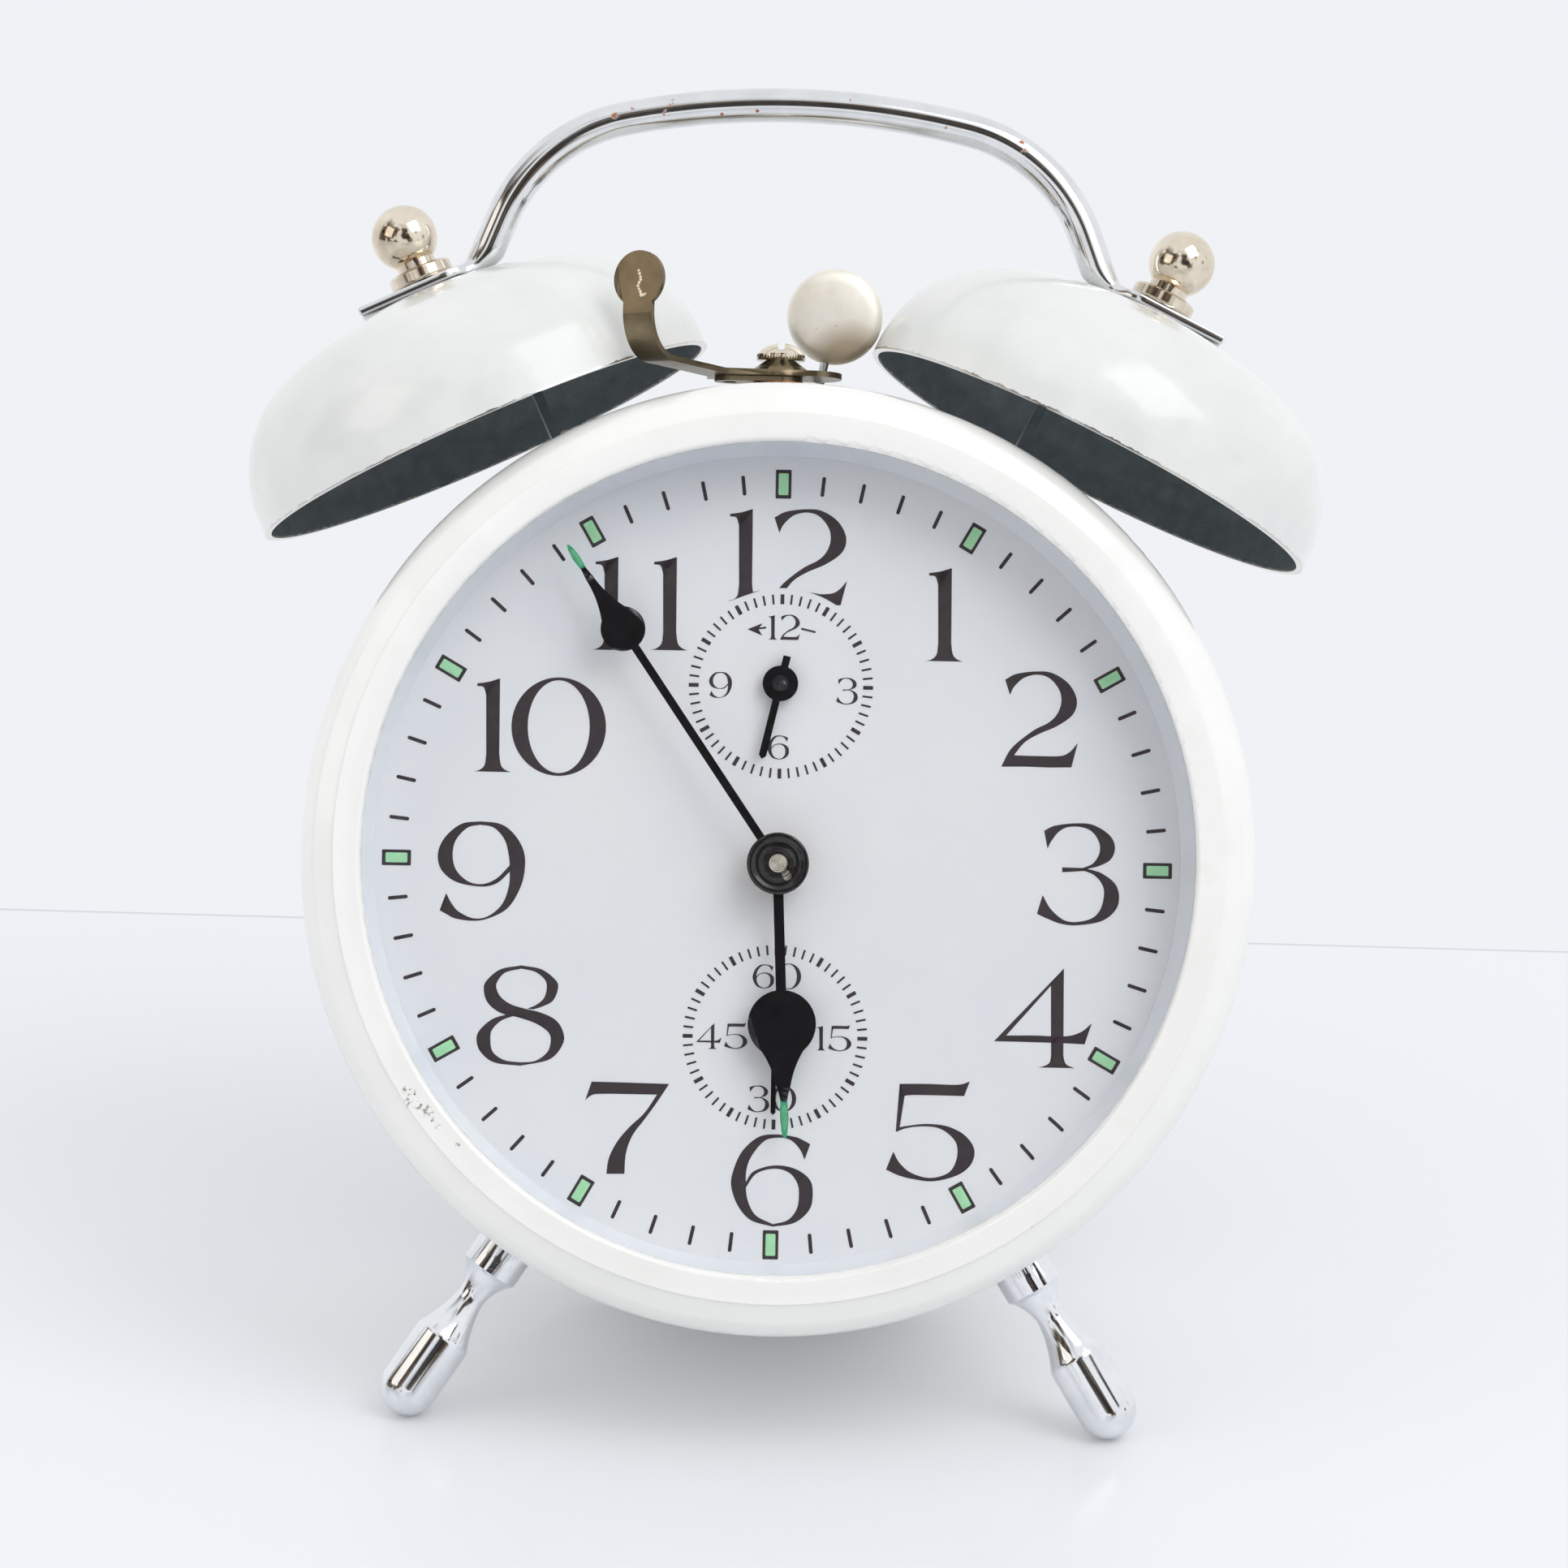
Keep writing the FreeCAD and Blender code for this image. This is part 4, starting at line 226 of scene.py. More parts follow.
# %% [markdown]
# ## Wear and unevenness
# Real finishes are uneven in patches: cloudy polish, dust, pits, flaked paint. Each is
# noise of a known size in millimetres, drawn apart until only the patches are left. Wear
# that sits in one place is the same noise, kept only near that place on the clock.
# %% Patches and flecks
def patches(tree, where, size_mm, low, high, seed=0.0, detail=4.0, to=(0.0, 1.0)):
    """Irregular patches about size_mm across: noise below low gives to[0], above high
    to[1], and a straight line runs between them."""
    cloud = add(tree, "TexNoise", {"Vector": where, "W": seed, "Scale": 1 / (size_mm * MM),
                                   "Detail": detail, "Roughness": 0.6}, noise_dimensions="4D")
    return add(tree, "MapRange", {"Value": cloud, "From Min": low, "From Max": high,
                                  "To Min": to[0], "To Max": to[1]})


def around(tree, where, place_mm, inner_mm, outer_mm):
    """1 within inner_mm of a place on the clock, falling to 0 at outer_mm."""
    place = tuple(in_clock([place_mm])[0])
    apart = add(tree, "VectorMath", {0: where, 1: place}, operation="DISTANCE")
    return add(tree, "MapRange", {"Value": apart, "From Min": inner_mm * MM, "From Max": outer_mm * MM,
                                  "To Min": 1.0, "To Max": 0.0})


def spots(tree, where, places, core=0.55):
    """1 near any of the places (place, radius): within core times its radius, falling to
    0 at the radius."""
    share = 0.0
    for place, radius in places:
        spot = around(tree, where, place, radius * core, radius)
        share = add(tree, "Math", {0: share, 1: spot}, operation="MAXIMUM")
    return share


def flecks(tree, where, places, size_mm, low, high):
    """Ragged flecks: patches of size_mm, kept only within a radius of each place."""
    torn = patches(tree, where, size_mm, low, high, seed=7)
    return add(tree, "Math", {0: spots(tree, where, places), 1: torn}, operation="MULTIPLY")


def from_joint(tree, where, joint):
    """A point's distance from a joint's own line, in metres: the length of the cross
    product of the way from the joint to the point with the line's direction."""
    place = tuple(joint_of[joint]["pos_m"])
    spoke = add(tree, "VectorMath", {0: where, 1: place}, operation="SUBTRACT")
    across = add(tree, "VectorMath", {0: spoke, 1: tuple(BACKWARD)}, operation="CROSS_PRODUCT")
    return add(tree, "VectorMath", {0: across}, operation="LENGTH")


def turned_rings(tree, radius, pitch_mm):
    """Rings round a line, one each pitch_mm: the sine of 2 pi times radius over pitch."""
    turns = add(tree, "Math", {0: radius, 1: 2 * math.pi / (pitch_mm * MM)}, operation="MULTIPLY")
    return add(tree, "Math", {0: turns}, operation="SINE")


# %% [markdown]
# ## Meshes
# New pieces are grids of points worked out in one go. A CAD node comes in as loose
# triangles, which shade like cut glass, so what shows of the clock is a copy with its
# corners joined: light then runs smoothly over a curve and breaks only at a real edge.
# %% Meshes from numbers
def mesh_piece(name, points, faces, smooth=False):
    """A mesh object from points in metres and faces."""
    mesh = bpy.data.meshes.new(name)
    mesh.from_pydata(np.asarray(points, float).tolist(), [], [list(map(int, f)) for f in faces])
    mesh.polygons.foreach_set("use_smooth", np.full(len(mesh.polygons), smooth))
    mesh.update()
    return in_room(name, mesh)


def grid_faces(rows, columns, wrap=False):
    """The four-cornered faces of a grid of points, row by row. A wrapped grid's last row
    joins its first."""
    row = np.arange(rows if wrap else rows - 1)[:, None]
    column = np.arange(columns - 1)[None, :]
    below = (row + 1) % rows
    corners = [row * columns + column, row * columns + column + 1,
               below * columns + column + 1, below * columns + column]
    return np.stack(corners, -1).reshape(-1, 4)


def ring_faces(rings, sides, wrap=False):
    """The faces between closed rings of points, ring by ring."""
    faces = grid_faces(rings, sides + 1, wrap)
    return faces // (sides + 1) * sides + faces % (sides + 1) % sides


def joined(parts):
    """Several (points, faces) made one."""
    points, faces, count = [], [], 0
    for some_points, some_faces in parts:
        points.append(some_points)
        faces += [[corner + count for corner in face] for face in some_faces]
        count += len(some_points)
    return np.vstack(points), faces


def tidied(source, mesh, apart=1e-7, outwards=True):
    """Puts source's shape into mesh, with points nearer than apart joined and all faces
    turned outwards."""
    shape = bmesh.new()
    shape.from_mesh(source)
    bmesh.ops.remove_doubles(shape, verts=shape.verts, dist=apart)
    if outwards:
        bmesh.ops.recalc_face_normals(shape, faces=shape.faces)
    shape.to_mesh(mesh)
    shape.free()


def dress(piece, material, body):
    """A finish, and the body that the piece moves with."""
    piece.data.materials.clear()
    piece.data.materials.append(material)
    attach(piece, body)
    return piece


# %% Smooth copies of the CAD nodes
CORNER_JOIN = 2e-6


def stand_in(piece, material, name, angle):
    """Makes a piece stand for a CAD node. An edge stays sharp where two faces turn by more
    than the angle, and large faces count for more in the shading of a corner, so that a
    flat face next to a curve stays flat."""
    piece.data.set_sharp_from_angle(angle=math.radians(angle))
    piece.modifiers.new("weighted", "WEIGHTED_NORMAL").keep_sharp = True
    dress(piece, material, body_of(nodes[name])[0])
    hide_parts(name)


def smooth(material, *names, angle=34):
    """Stands in for CAD nodes with the same triangles, their corners joined."""
    for name in names:
        mesh = bpy.data.meshes.new(name + "_finished")
        tidied(nodes[name].data, mesh, CORNER_JOIN, outwards=False)
        mesh.polygons.foreach_set("use_smooth", np.ones(len(mesh.polygons), bool))
        stand_in(in_room(name + "_finished", mesh), material, name, angle)


def finish_nodes(material, *names):
    """Gives CAD nodes a finish by their material slots."""
    for name in names:
        for slot in nodes[name].material_slots:
            slot.material = material


# %% [markdown]
# ## Stoved enamel: case and bezel
# The case and its bezel are pressed steel with a sprayed and baked white enamel. Paint of
# this kind is smooth and warm white with a faint orange-peel ripple about a millimetre
# wide. Where the bezel has been knocked the enamel has flaked down to grey steel, in
# small ragged patches on the lower left of the ring.
# %% White enamel
CHIPS_MM = [((-43.3, -9, -28.6), 0.75), ((-42.2, -9, -28.9), 0.6), ((-43.1, -9, -30.0), 0.75),
            ((-41.9, -9, -30.3), 0.6), ((-40.8, -9, -31.0), 0.95), ((-40.1, -9, -32.0), 0.4),
            ((-39.5, -9, -32.7), 0.45), ((-37.1, -9, -34.8), 0.4), ((31.5, -8.6, -42.4), 0.3)]


def white_enamel(name, code, chips=()):
    """Baked white enamel with orange peel, faint unevenness and, at chips, bare steel."""
    material, tree, where = blank(name)
    grime = patches(tree, where, 3.5, 0.60, 0.80, seed=3, detail=6, to=(0.0, 0.22))
    bare = flecks(tree, where, chips, 0.5, 0.52, 0.60)
    peel = patches(tree, where, 1.1, 0.3, 0.7, detail=2, to=(0.0, 0.05))
    gloss = patches(tree, where, 5, 0.3, 0.8, seed=2, to=(0.15, 0.27))
    return finished(material, add(tree, "Math", {0: peel, 1: bare}, operation="SUBTRACT"), 0.06, {
        "Base Color": layered(tree, code, (patches(tree, where, 14, 0.3, 0.7), "#F3F2EE"),
                              (grime, "#E2DFD0"), (bare, "#918B80")),
        "Roughness": add(tree, "Math", {0: bare, 1: 0.35, 2: gloss}, operation="MULTIPLY_ADD"),
        "Coat Weight": 0.35, "Coat Roughness": 0.10})


smooth(white_enamel("white_enamel_case", "#E9E9E4"), "case_shell")
smooth(white_enamel("white_enamel_bezel", "#EDEDE8", CHIPS_MM), "bezel", angle=60)
print("enamel on the case and the bezel, with", len(CHIPS_MM), "chips")

# %% [markdown]
# ## Bells
# A bell is spun from one sheet of steel. Outside it carries a pearly white lacquer, inside
# it is left with a matt dark grey-green primer, and along the rim the lacquer has worn
# off a bright edge. The three zones are told apart by which way the surface faces: away
# from a point inside the bell, towards it, or straight down along the bell's own axis.
# %% Bell finish
BELL_TILT = math.radians(25.5)
BELL_RIM_MM = (37.58, 21.0, 51.99)
BELL_MIDDLE_LIFT_MM = 4.0


def bell_finish(name, side):
    """Lacquer outside, primer inside and worn steel along the rim, for the bell at
    side -1 or +1."""
    material, tree, where = blank(name)
    axis_clock = np.array([side * math.sin(BELL_TILT), 0, math.cos(BELL_TILT)])
    rim_clock = np.array([side * BELL_RIM_MM[0], BELL_RIM_MM[1], BELL_RIM_MM[2]])
    middle, rim = in_clock([rim_clock + axis_clock * BELL_MIDDLE_LIFT_MM, rim_clock])
    axis = unit(axis_clock @ CLOCK_AXES)
    facing = add(tree, "TexCoord", out="Normal")
    outward = add(tree, "VectorMath", {0: where, 1: tuple(middle)}, operation="SUBTRACT")
    looks_out = add(tree, "VectorMath", {0: facing, 1: outward}, operation="DOT_PRODUCT")
    inside = add(tree, "Math", {0: looks_out, 1: 0.0}, operation="LESS_THAN")
    looks_down = add(tree, "VectorMath", {0: facing, 1: tuple(-axis)}, operation="DOT_PRODUCT")
    from_rim = add(tree, "VectorMath", {0: where, 1: tuple(rim)}, operation="SUBTRACT")
    height = add(tree, "VectorMath", {0: from_rim, 1: tuple(axis)}, operation="DOT_PRODUCT")
    ragged = patches(tree, where, 1.3, 0.0, 1.0, detail=5, to=(-0.22 * MM, 0.68 * MM))
    low = add(tree, "Math", {0: height, 1: ragged}, operation="LESS_THAN")
    lip = add(tree, "Math", {0: looks_down, 1: 0.75}, operation="GREATER_THAN")
    worn = add(tree, "Math", {0: low, 1: lip}, operation="MAXIMUM")
    pearl = layered(tree, "#DBDDD9", (patches(tree, where, 11, 0.3, 0.7, seed=side), "#E6E6E2"),
                    (patches(tree, where, 0.8, 0.745, 0.77, seed=9, detail=5), "#B4B2A8"))
    speck = patches(tree, where, 0.7, 0.74, 0.78, seed=12, detail=3, to=(0.0, 0.7))
    cloud = patches(tree, where, 2.2, 0.35, 0.7, seed=4, detail=5)
    primer = layered(tree, "#616C6F", (cloud, "#727D80"), (speck, "#8B908C"))
    gloss = patches(tree, where, 4, 0.2, 0.8, seed=6, to=(0.13, 0.24))
    coarse = add(tree, "Math", {0: inside, 1: 0.04}, operation="ADD")
    grain = patches(tree, where, 0.5, 0.2, 0.8, detail=3)
    return finished(material, add(tree, "Math", {0: grain, 1: coarse}, operation="MULTIPLY"), 0.05, {
        "Base Color": layered(tree, pearl, (inside, primer), (worn, "#CFCEC8")),
        "Roughness": add(tree, "Math", {0: inside, 1: 0.42, 2: gloss}, operation="MULTIPLY_ADD"),
        "Metallic": add(tree, "Math", {0: worn, 1: 0.85}, operation="MULTIPLY"),
        "Coat Weight": 0.2, "Coat Roughness": 0.08})


smooth(bell_finish("bell_lacquer_left", -1), "bell_left")
smooth(bell_finish("bell_lacquer_right", 1), "bell_right")
print("two bells lacquered")

# %% [markdown]
# ## Plated and bare metals
# Chrome is a hard cool mirror, and nickel is warmer, softer and shows a fine grain. Bare and
# zinc-plated steel are duller still. All of them share one recipe: a metal whose tone
# drifts a little, a grain of its own size, small dark pits, patches of smudged gloss and,
# where it was handled or drawn, fine scratches.
# %% One recipe for metals
def metal(name, code, dark, rough, grain_mm, grain_depth_mm, pits=0.0, pit_code="#5B4A3C",
          smudge=0.12, scratches=0.0, marks=(), scratch_and_shade_code="#EFE6D8"):
    """A bare or plated metal. Pits are a share from 0 to 1 of how many show, scratches how deep they
    are, and marks are (place, radius) pairs where the metal has scratch_and_shade_code's tone: the
    lever's real scratch, and the painted shade low on the hammer."""
    material, tree, where = blank(name)
    tone = patches(tree, where, 4.5, 0.25, 0.65, seed=1, detail=5)
    # Marks in a tone of their own: the lever's real scratch, and painted shade low on the hammer.
    scratched_and_shaded = [(around(tree, where, place, radius * 0.5, radius), scratch_and_shade_code) for place, radius in marks]
    pit = patches(tree, where, 0.55, 0.80 - pits * 0.2, 0.84 - pits * 0.2, seed=8)
    height = patches(tree, where, grain_mm, 0.0, 1.0, seed=5, detail=3)
    drawn = add(tree, "Mapping", {"Vector": where, "Rotation": (0.5, 0.3, 0.9),
                                  "Scale": (0.08, 1.0, 1.0)})
    line = patches(tree, drawn, 0.25, 0.62, 0.70, seed=3, detail=3, to=(0.0, scratches))
    height = add(tree, "Math", {0: height, 1: line}, operation="SUBTRACT")
    shine = patches(tree, where, 3.0, 0.25, 0.8, seed=2, detail=5, to=(rough, rough + smudge))
    return finished(material, height, grain_depth_mm, {
        "Base Color": layered(tree, dark, (tone, code), *scratched_and_shaded, (pit, pit_code)),
        "Metallic": 1.0, "Roughness": shine})


# %% [markdown]
# ## Chrome on the handle
# The handle is a bent and flattened rod with bright chrome. The plating has broken in a few
# places on top of the bow, where rust shows as red-brown flecks, and rust runs in a thin
# broken line along the lower edge of its right shoulder.
# %% Handle chrome with rust
RUST_MM = [((-22.9, 18.9, 93.3), 0.6), ((-20.7, 19.0, 94.3), 0.3), ((-16.0, 18.9, 94.8), 0.6),
           ((-16.5, 18.9, 93.8), 0.55), ((-15.8, 18.9, 95.7), 0.45), ((28.1, 18.9, 91.5), 0.6),
           ((28.5, 18.9, 90.4), 0.65), ((28.8, 19.2, 89.4), 0.4), ((-9.5, 19.2, 93.9), 0.3),
           ((-5.1, 19.1, 94.5), 0.3), ((6.4, 19.0, 96.2), 0.25), ((18.5, 19.0, 93.2), 0.3)]
RUST_LINE_MM = [((29.9, 19.6, 88.9), 0.5), ((31.2, 19.6, 87.7), 0.5), ((32.4, 19.6, 86.2), 0.5),
                ((33.6, 19.6, 84.5), 0.45), ((34.7, 19.6, 82.6), 0.45), ((35.6, 19.6, 80.8), 0.4)]


def handle_chrome():
    """Chrome whose plating has pinholes, with rust at the places listed."""
    material, tree, where = blank("handle_chrome")
    rust = flecks(tree, where, RUST_MM + RUST_LINE_MM, 0.8, 0.46, 0.54)
    pit = patches(tree, where, 0.6, 0.73, 0.77, seed=4, to=(0.0, 0.8))
    rust = add(tree, "Math", {0: rust, 1: pit}, operation="MAXIMUM")
    shine = patches(tree, where, 3, 0.3, 0.8, seed=2, detail=5, to=(0.06, 0.15))
    return finished(material, patches(tree, where, 0.8, 0.0, 1.0, detail=3), 0.0015, {
        "Base Color": layered(tree, "#DADCDE", (patches(tree, where, 5, 0.3, 0.7, seed=1), "#EAEBEC"),
                              (rust, "#A8674A")),
        "Metallic": add(tree, "Math", {0: rust, 1: -0.7, 2: 1.0}, operation="MULTIPLY_ADD"),
        "Roughness": add(tree, "Math", {0: rust, 1: 0.5, 2: shine}, operation="MULTIPLY_ADD")})


# %% [markdown]
# ## The handle's shape
# The handle is one rod, bent to a bow and beaten flat at both ends to make the straps that
# sit under the ball nuts. A loft between a circle and a box would crease where they meet,
# so the whole bow is one surface here: a section carried along the bow's middle line, round
# on the bow and drawn out to a flat strap with rounded edges over the lower bends.
# %% Handle
HANDLE_TOP_MM, HANDLE_DEPTH_MM = 95.61, 21.0
RUN_ENDS_MM = (0.0, 21.57, 42.37, 49.06, 52.24, 65.72)
RUN_SLOPES = (0.0, 12.3, 68.8, 68.8, 25.5, 25.5)
ROD_MM, STRAP_WIDE_MM, STRAP_THICK_MM = 2.15, 4.0, 0.65
THINNING_MM, WIDENING_MM = (46.4, 52.6), (49.0, 54.3)
HANDLE_STEP_MM, HANDLE_SIDES, HANDLE_CHAMFER_MM = 0.5, 44, 0.22
LINE_STEPS = 6001


def ramp(value, low, high):
    """0 below low, 1 above high, and an s-shaped rise between: 3 t^2 - 2 t^3."""
    share = np.clip((value - low) / (high - low), 0, 1)
    return share * share * (3 - 2 * share)


def bow_line(along):
    """The middle line's places and slopes on one side, at distances along it from the top.
    The slope runs evenly between the ends of the runs, which makes each run an arc or a
    straight, and the place is the sum of many small steps down that slope."""
    fine = np.linspace(0, RUN_ENDS_MM[-1], LINE_STEPS)
    slope = np.radians(np.interp(fine, RUN_ENDS_MM, RUN_SLOPES))
    x, fall = (np.concatenate([[0], np.cumsum((part[1:] + part[:-1]) / 2 * fine[1])])
               for part in (np.cos(slope), np.sin(slope)))
    return (np.interp(along, fine, x), HANDLE_TOP_MM - np.interp(along, fine, fall),
            np.radians(np.interp(along, RUN_ENDS_MM, RUN_SLOPES)))


def rounded(angle, power):
    """How far a section reaches each way: the cosine and sine of the angle, each raised to
    the power with its sign kept."""
    return (np.sign(part) * np.abs(part) ** power for part in (np.cos(angle), np.sin(angle)))


def bow_surface():
    """The handle as one closed surface. A section's point at angle a is (wide c, thick s)
    with c and s the cosine and sine of a raised to 2 / n and their signs kept: n = 2 is an
    ellipse, and n = 7 nearly a box. Thick lies across the line in the bow's plane, and as
    it shrinks the section moves up by as much: it is the underside that is beaten in."""
    reach = RUN_ENDS_MM[-1]
    half = np.append(np.linspace(0, reach - HANDLE_CHAMFER_MM, int(reach / HANDLE_STEP_MM)), reach)
    signed = np.concatenate([-half[:0:-1], half])[:, None]
    side, along = np.where(signed < 0, -1.0, 1.0), np.abs(signed)
    x, z, slope = bow_line(along)
    flat, broad = ramp(along, *THINNING_MM), ramp(along, *WIDENING_MM)
    end = (along >= reach) * HANDLE_CHAMFER_MM
    thick = ROD_MM + (STRAP_THICK_MM - ROD_MM) * flat - end
    wide = ROD_MM + (STRAP_WIDE_MM - ROD_MM) * broad - end
    angle = np.linspace(0, 2 * np.pi, HANDLE_SIDES, endpoint=False)[None, :]
    across, up = rounded(angle, 2 / (2 + 5 * np.minimum(flat, broad)))
    up = thick * up + ROD_MM - thick - end
    points = np.stack([side * (x + up * np.sin(slope)), HANDLE_DEPTH_MM + wide * across,
                       z + up * np.cos(slope)], -1)
    first = list(range(HANDLE_SIDES))
    last = [corner + points.size // 3 - HANDLE_SIDES for corner in first]
    faces = ring_faces(len(points), HANDLE_SIDES).tolist() + [first, last]
    return in_clock(points.reshape(-1, 3)), faces


bow = mesh_piece("handle_finished", *bow_surface(), smooth=True)
tidied(bow.data, bow.data)
stand_in(bow, handle_chrome(), "handle", angle=38)
print("the handle has", len(bow.data.polygons), "faces")

# %% [markdown]
# ## Brass wheels on steel arbors
# A clock wheel is stamped brass, pressed onto a steel arbor that is turned in one with its
# pinion. Node and arbor are one solid here, so the colour changes with the distance from
# the arbor's own line.
# %% Wheel brass
ARBOR_RADIUS_MM = 1.35
TURNED_RING_MM = 0.28


def wheel_brass(name, joint):
    """Brushed brass round a steel arbor, with the fine rings that the lathe left on the
    arbor's end."""
    material, tree, where = blank(name)
    radius = from_joint(tree, where, joint)
    is_brass = add(tree, "Math", {0: radius, 1: ARBOR_RADIUS_MM * MM}, operation="GREATER_THAN")
    tone = patches(tree, where, 4, 0.25, 0.65, seed=1, detail=5)
    grain = patches(tree, where, 0.4, 0.0, 1.0, seed=5, detail=3)
    turned = turned_rings(tree, radius, TURNED_RING_MM)
    skin = layered(tree, "#EBE4D6", (is_brass, layered(tree, "#A88544", (tone, "#CBA75E"))))
    return finished(material, add(tree, "Mix", {"Factor": is_brass, 2: turned, 3: grain}), 0.008, {
        "Base Color": skin, "Metallic": 1.0,
        "Roughness": patches(tree, where, 2.5, 0.3, 0.8, seed=2, to=(0.20, 0.34))})


# %% [markdown]
# ## The bell brackets
# Each bell stands on a bent strip of steel that was painted with the same dark primer as the bell's
# inside. Its sheared edges caught no paint and they catch the light, so they are painted as thin pale
# lines: partly bare steel, partly painted highlight. An edge face is known by looking across the clock
# instead of forwards or along the strip.
# %% Primed strip with bare edges
def primer_with_lit_bare_edges():
    """Dark grey-green primer, with bare steel and a painted highlight in one pale tone on the faces
    that look left or right.
    """
    material, tree, where = blank("bracket_primer")
    facing = add(tree, "TexCoord", out="Normal")
    across = add(tree, "VectorMath", {0: facing, 1: tuple(ACROSS)}, operation="DOT_PRODUCT")
    across = add(tree, "Math", {0: across}, operation="ABSOLUTE")
    # Bare steel and painted highlight: the edge faces get one pale metal tone.
    bare = add(tree, "Math", {0: across, 1: 0.55}, operation="GREATER_THAN")
    cloud = patches(tree, where, 2.0, 0.35, 0.7, seed=3)
    return finished(material, patches(tree, where, 0.5, 0.0, 1.0, detail=3), 0.02, {
        "Base Color": layered(tree, "#596569", (cloud, "#687377"), (bare, "#A4A9AA")),
        "Roughness": patches(tree, where, 2.0, 0.3, 0.8, to=(0.36, 0.50)),
        "Metallic": add(tree, "Math", {0: bare, 1: 0.8}, operation="MULTIPLY")})


# %% Metals on the parts
PAD_SCRATCH = [((-19.08, -6.02, 70.57), 0.20), ((-18.97, -6.09, 70.20), 0.24),
               ((-18.85, -6.16, 69.80), 0.22), ((-18.80, -6.19, 69.45), 0.24),
               ((-18.98, -6.08, 69.10), 0.24), ((-19.11, -6.00, 68.72), 0.24),
               ((-18.98, -6.08, 68.35), 0.22), ((-18.80, -6.19, 68.00), 0.26),
               ((-18.69, -6.26, 67.62), 0.30), ((-18.42, -6.42, 67.60), 0.22),
               ((-18.20, -6.55, 67.72), 0.18)]

# Painted shade: round this place the lower edge of the hammer is painted a darker tone, #C4B49D.
HAMMER_SHADE = [((7.4, 19.1, 62.9), 6.0)]
chrome = metal("leg_chrome", "#F0F2F5", "#DEE1E5", 0.05, 0.7, 0.002, smudge=0.07, scratches=0.8)
nickel = metal("ball_nut_nickel", "#EFE5D4", "#CBBDA8", 0.06, 0.35, 0.006, pits=0.25, smudge=0.10)
hammer_nickel = metal("hammer_nickel", "#FFFCF4", "#F3EADC", 0.52, 0.30, 0.010, pits=0.55,
                      pit_code="#A08D74", smudge=0.06, marks=HAMMER_SHADE, scratch_and_shade_code="#C4B49D")
lever_nickel = metal("lever_nickel", "#8B7E65", "#695D4A", 0.25, 0.30, 0.012, pits=0.5,
                     marks=PAD_SCRATCH)
bright_steel = metal("arbor_steel", "#CED0D1", "#B0B3B6", 0.18, 0.4, 0.006, pits=0.15, scratches=0.3)
zinc_steel = metal("cover_zinc_steel", "#C2C6C9", "#A6ABB0", 0.33, 0.9, 0.02, pits=0.2, scratches=0.5)
spring_blue = metal("blued_spring_steel", "#5A6478", "#3E4658", 0.22, 0.5, 0.006)
brass = metal("movement_brass", "#C9A45A", "#A88544", 0.24, 0.45, 0.010, pits=0.2, scratches=0.5)
copper = metal("washer_copper", "#C08562", "#9B6245", 0.28, 0.4, 0.010, pits=0.4)

smooth(chrome, "leg_left", "leg_right", angle=22)
smooth(nickel, "ball_nut_left", "ball_nut_right", "hexagon_nuts", angle=22)
smooth(hammer_nickel, "hammer_head")
smooth(lever_nickel, "stop_lever", "lever_tab")
smooth(nickel, "lever_screw", "lever_bush", angle=22)
smooth(copper, "lever_washer")
smooth(primer_with_lit_bare_edges(), "bell_bracket_left", "bell_bracket_right")
smooth(bright_steel, "hammer_wire", "bell_studs", "bracket_screws", "time_key", "alarm_key",
       "time_set_knob", "alarm_set_knob", "back_cover_screws", "regulator_lever")
smooth(zinc_steel, "back_cover")
finish_nodes(bright_steel, "pillars", "time_winding_arbor", "alarm_winding_arbor",
             "hammer_arbor", "time_click", "alarm_click", "pallet_fork", "escape_wheel")
finish_nodes(spring_blue, "time_mainspring", "alarm_mainspring", "hairspring")
finish_nodes(brass, "front_plate", "rear_plate")
for wheel, joint in (("minute_wheel", "minute_wheel_turn"), ("hour_wheel", "hour_turn"),
                     ("alarm_wheel", "alarm_wheel_turn"), ("centre_wheel", "minute_turn"),
                     ("third_wheel", "third_turn"), ("fourth_wheel", "fourth_turn"),
                     ("time_great_wheel", "time_great_turn"), ("alarm_great_wheel", "alarm_great_turn"),
                     ("strike_wheel", "strike_turn"), ("balance_wheel", "balance_swing")):
    finish_nodes(wheel_brass(wheel + "_brass", joint), wheel)
print("metals on the handle, legs, nuts, hammer, lever, cover and movement")

# %% [markdown]
# ## Lens, dial and the wall between them
# The lens is a flat disc of clear glass. Light has to pass it to reach the dial, so rays that look for
# the lamps go straight through, as they do through thin glass. The dial is a cool white enamelled
# plate. The short wall between bezel and dial is the same enamel, painted a little bluer than the dial:
# a painted tint for the pale blue light it catches at a slant.
# %% Lens glass
def lens_glass():
    """Clear flat glass that lets the lamps through."""
    material, tree, where = blank("lens_glass")
    glass = add(tree, "BsdfPrincipled", {
        "Base Color": "#FFFFFF", "Transmission Weight": 1.0, "IOR": 1.38,
        "Roughness": patches(tree, where, 6, 0.35, 0.8, detail=5, to=(0.0, 0.03))})
    clear = add(tree, "BsdfTransparent", {"Color": "#FFFFFF"})
    lamp = add(tree, "LightPath", out="Is Shadow Ray")
    add(tree, "OutputMaterial", {"Surface": add(tree, "MixShader", {0: lamp, 1: glass, 2: clear})})
    return material


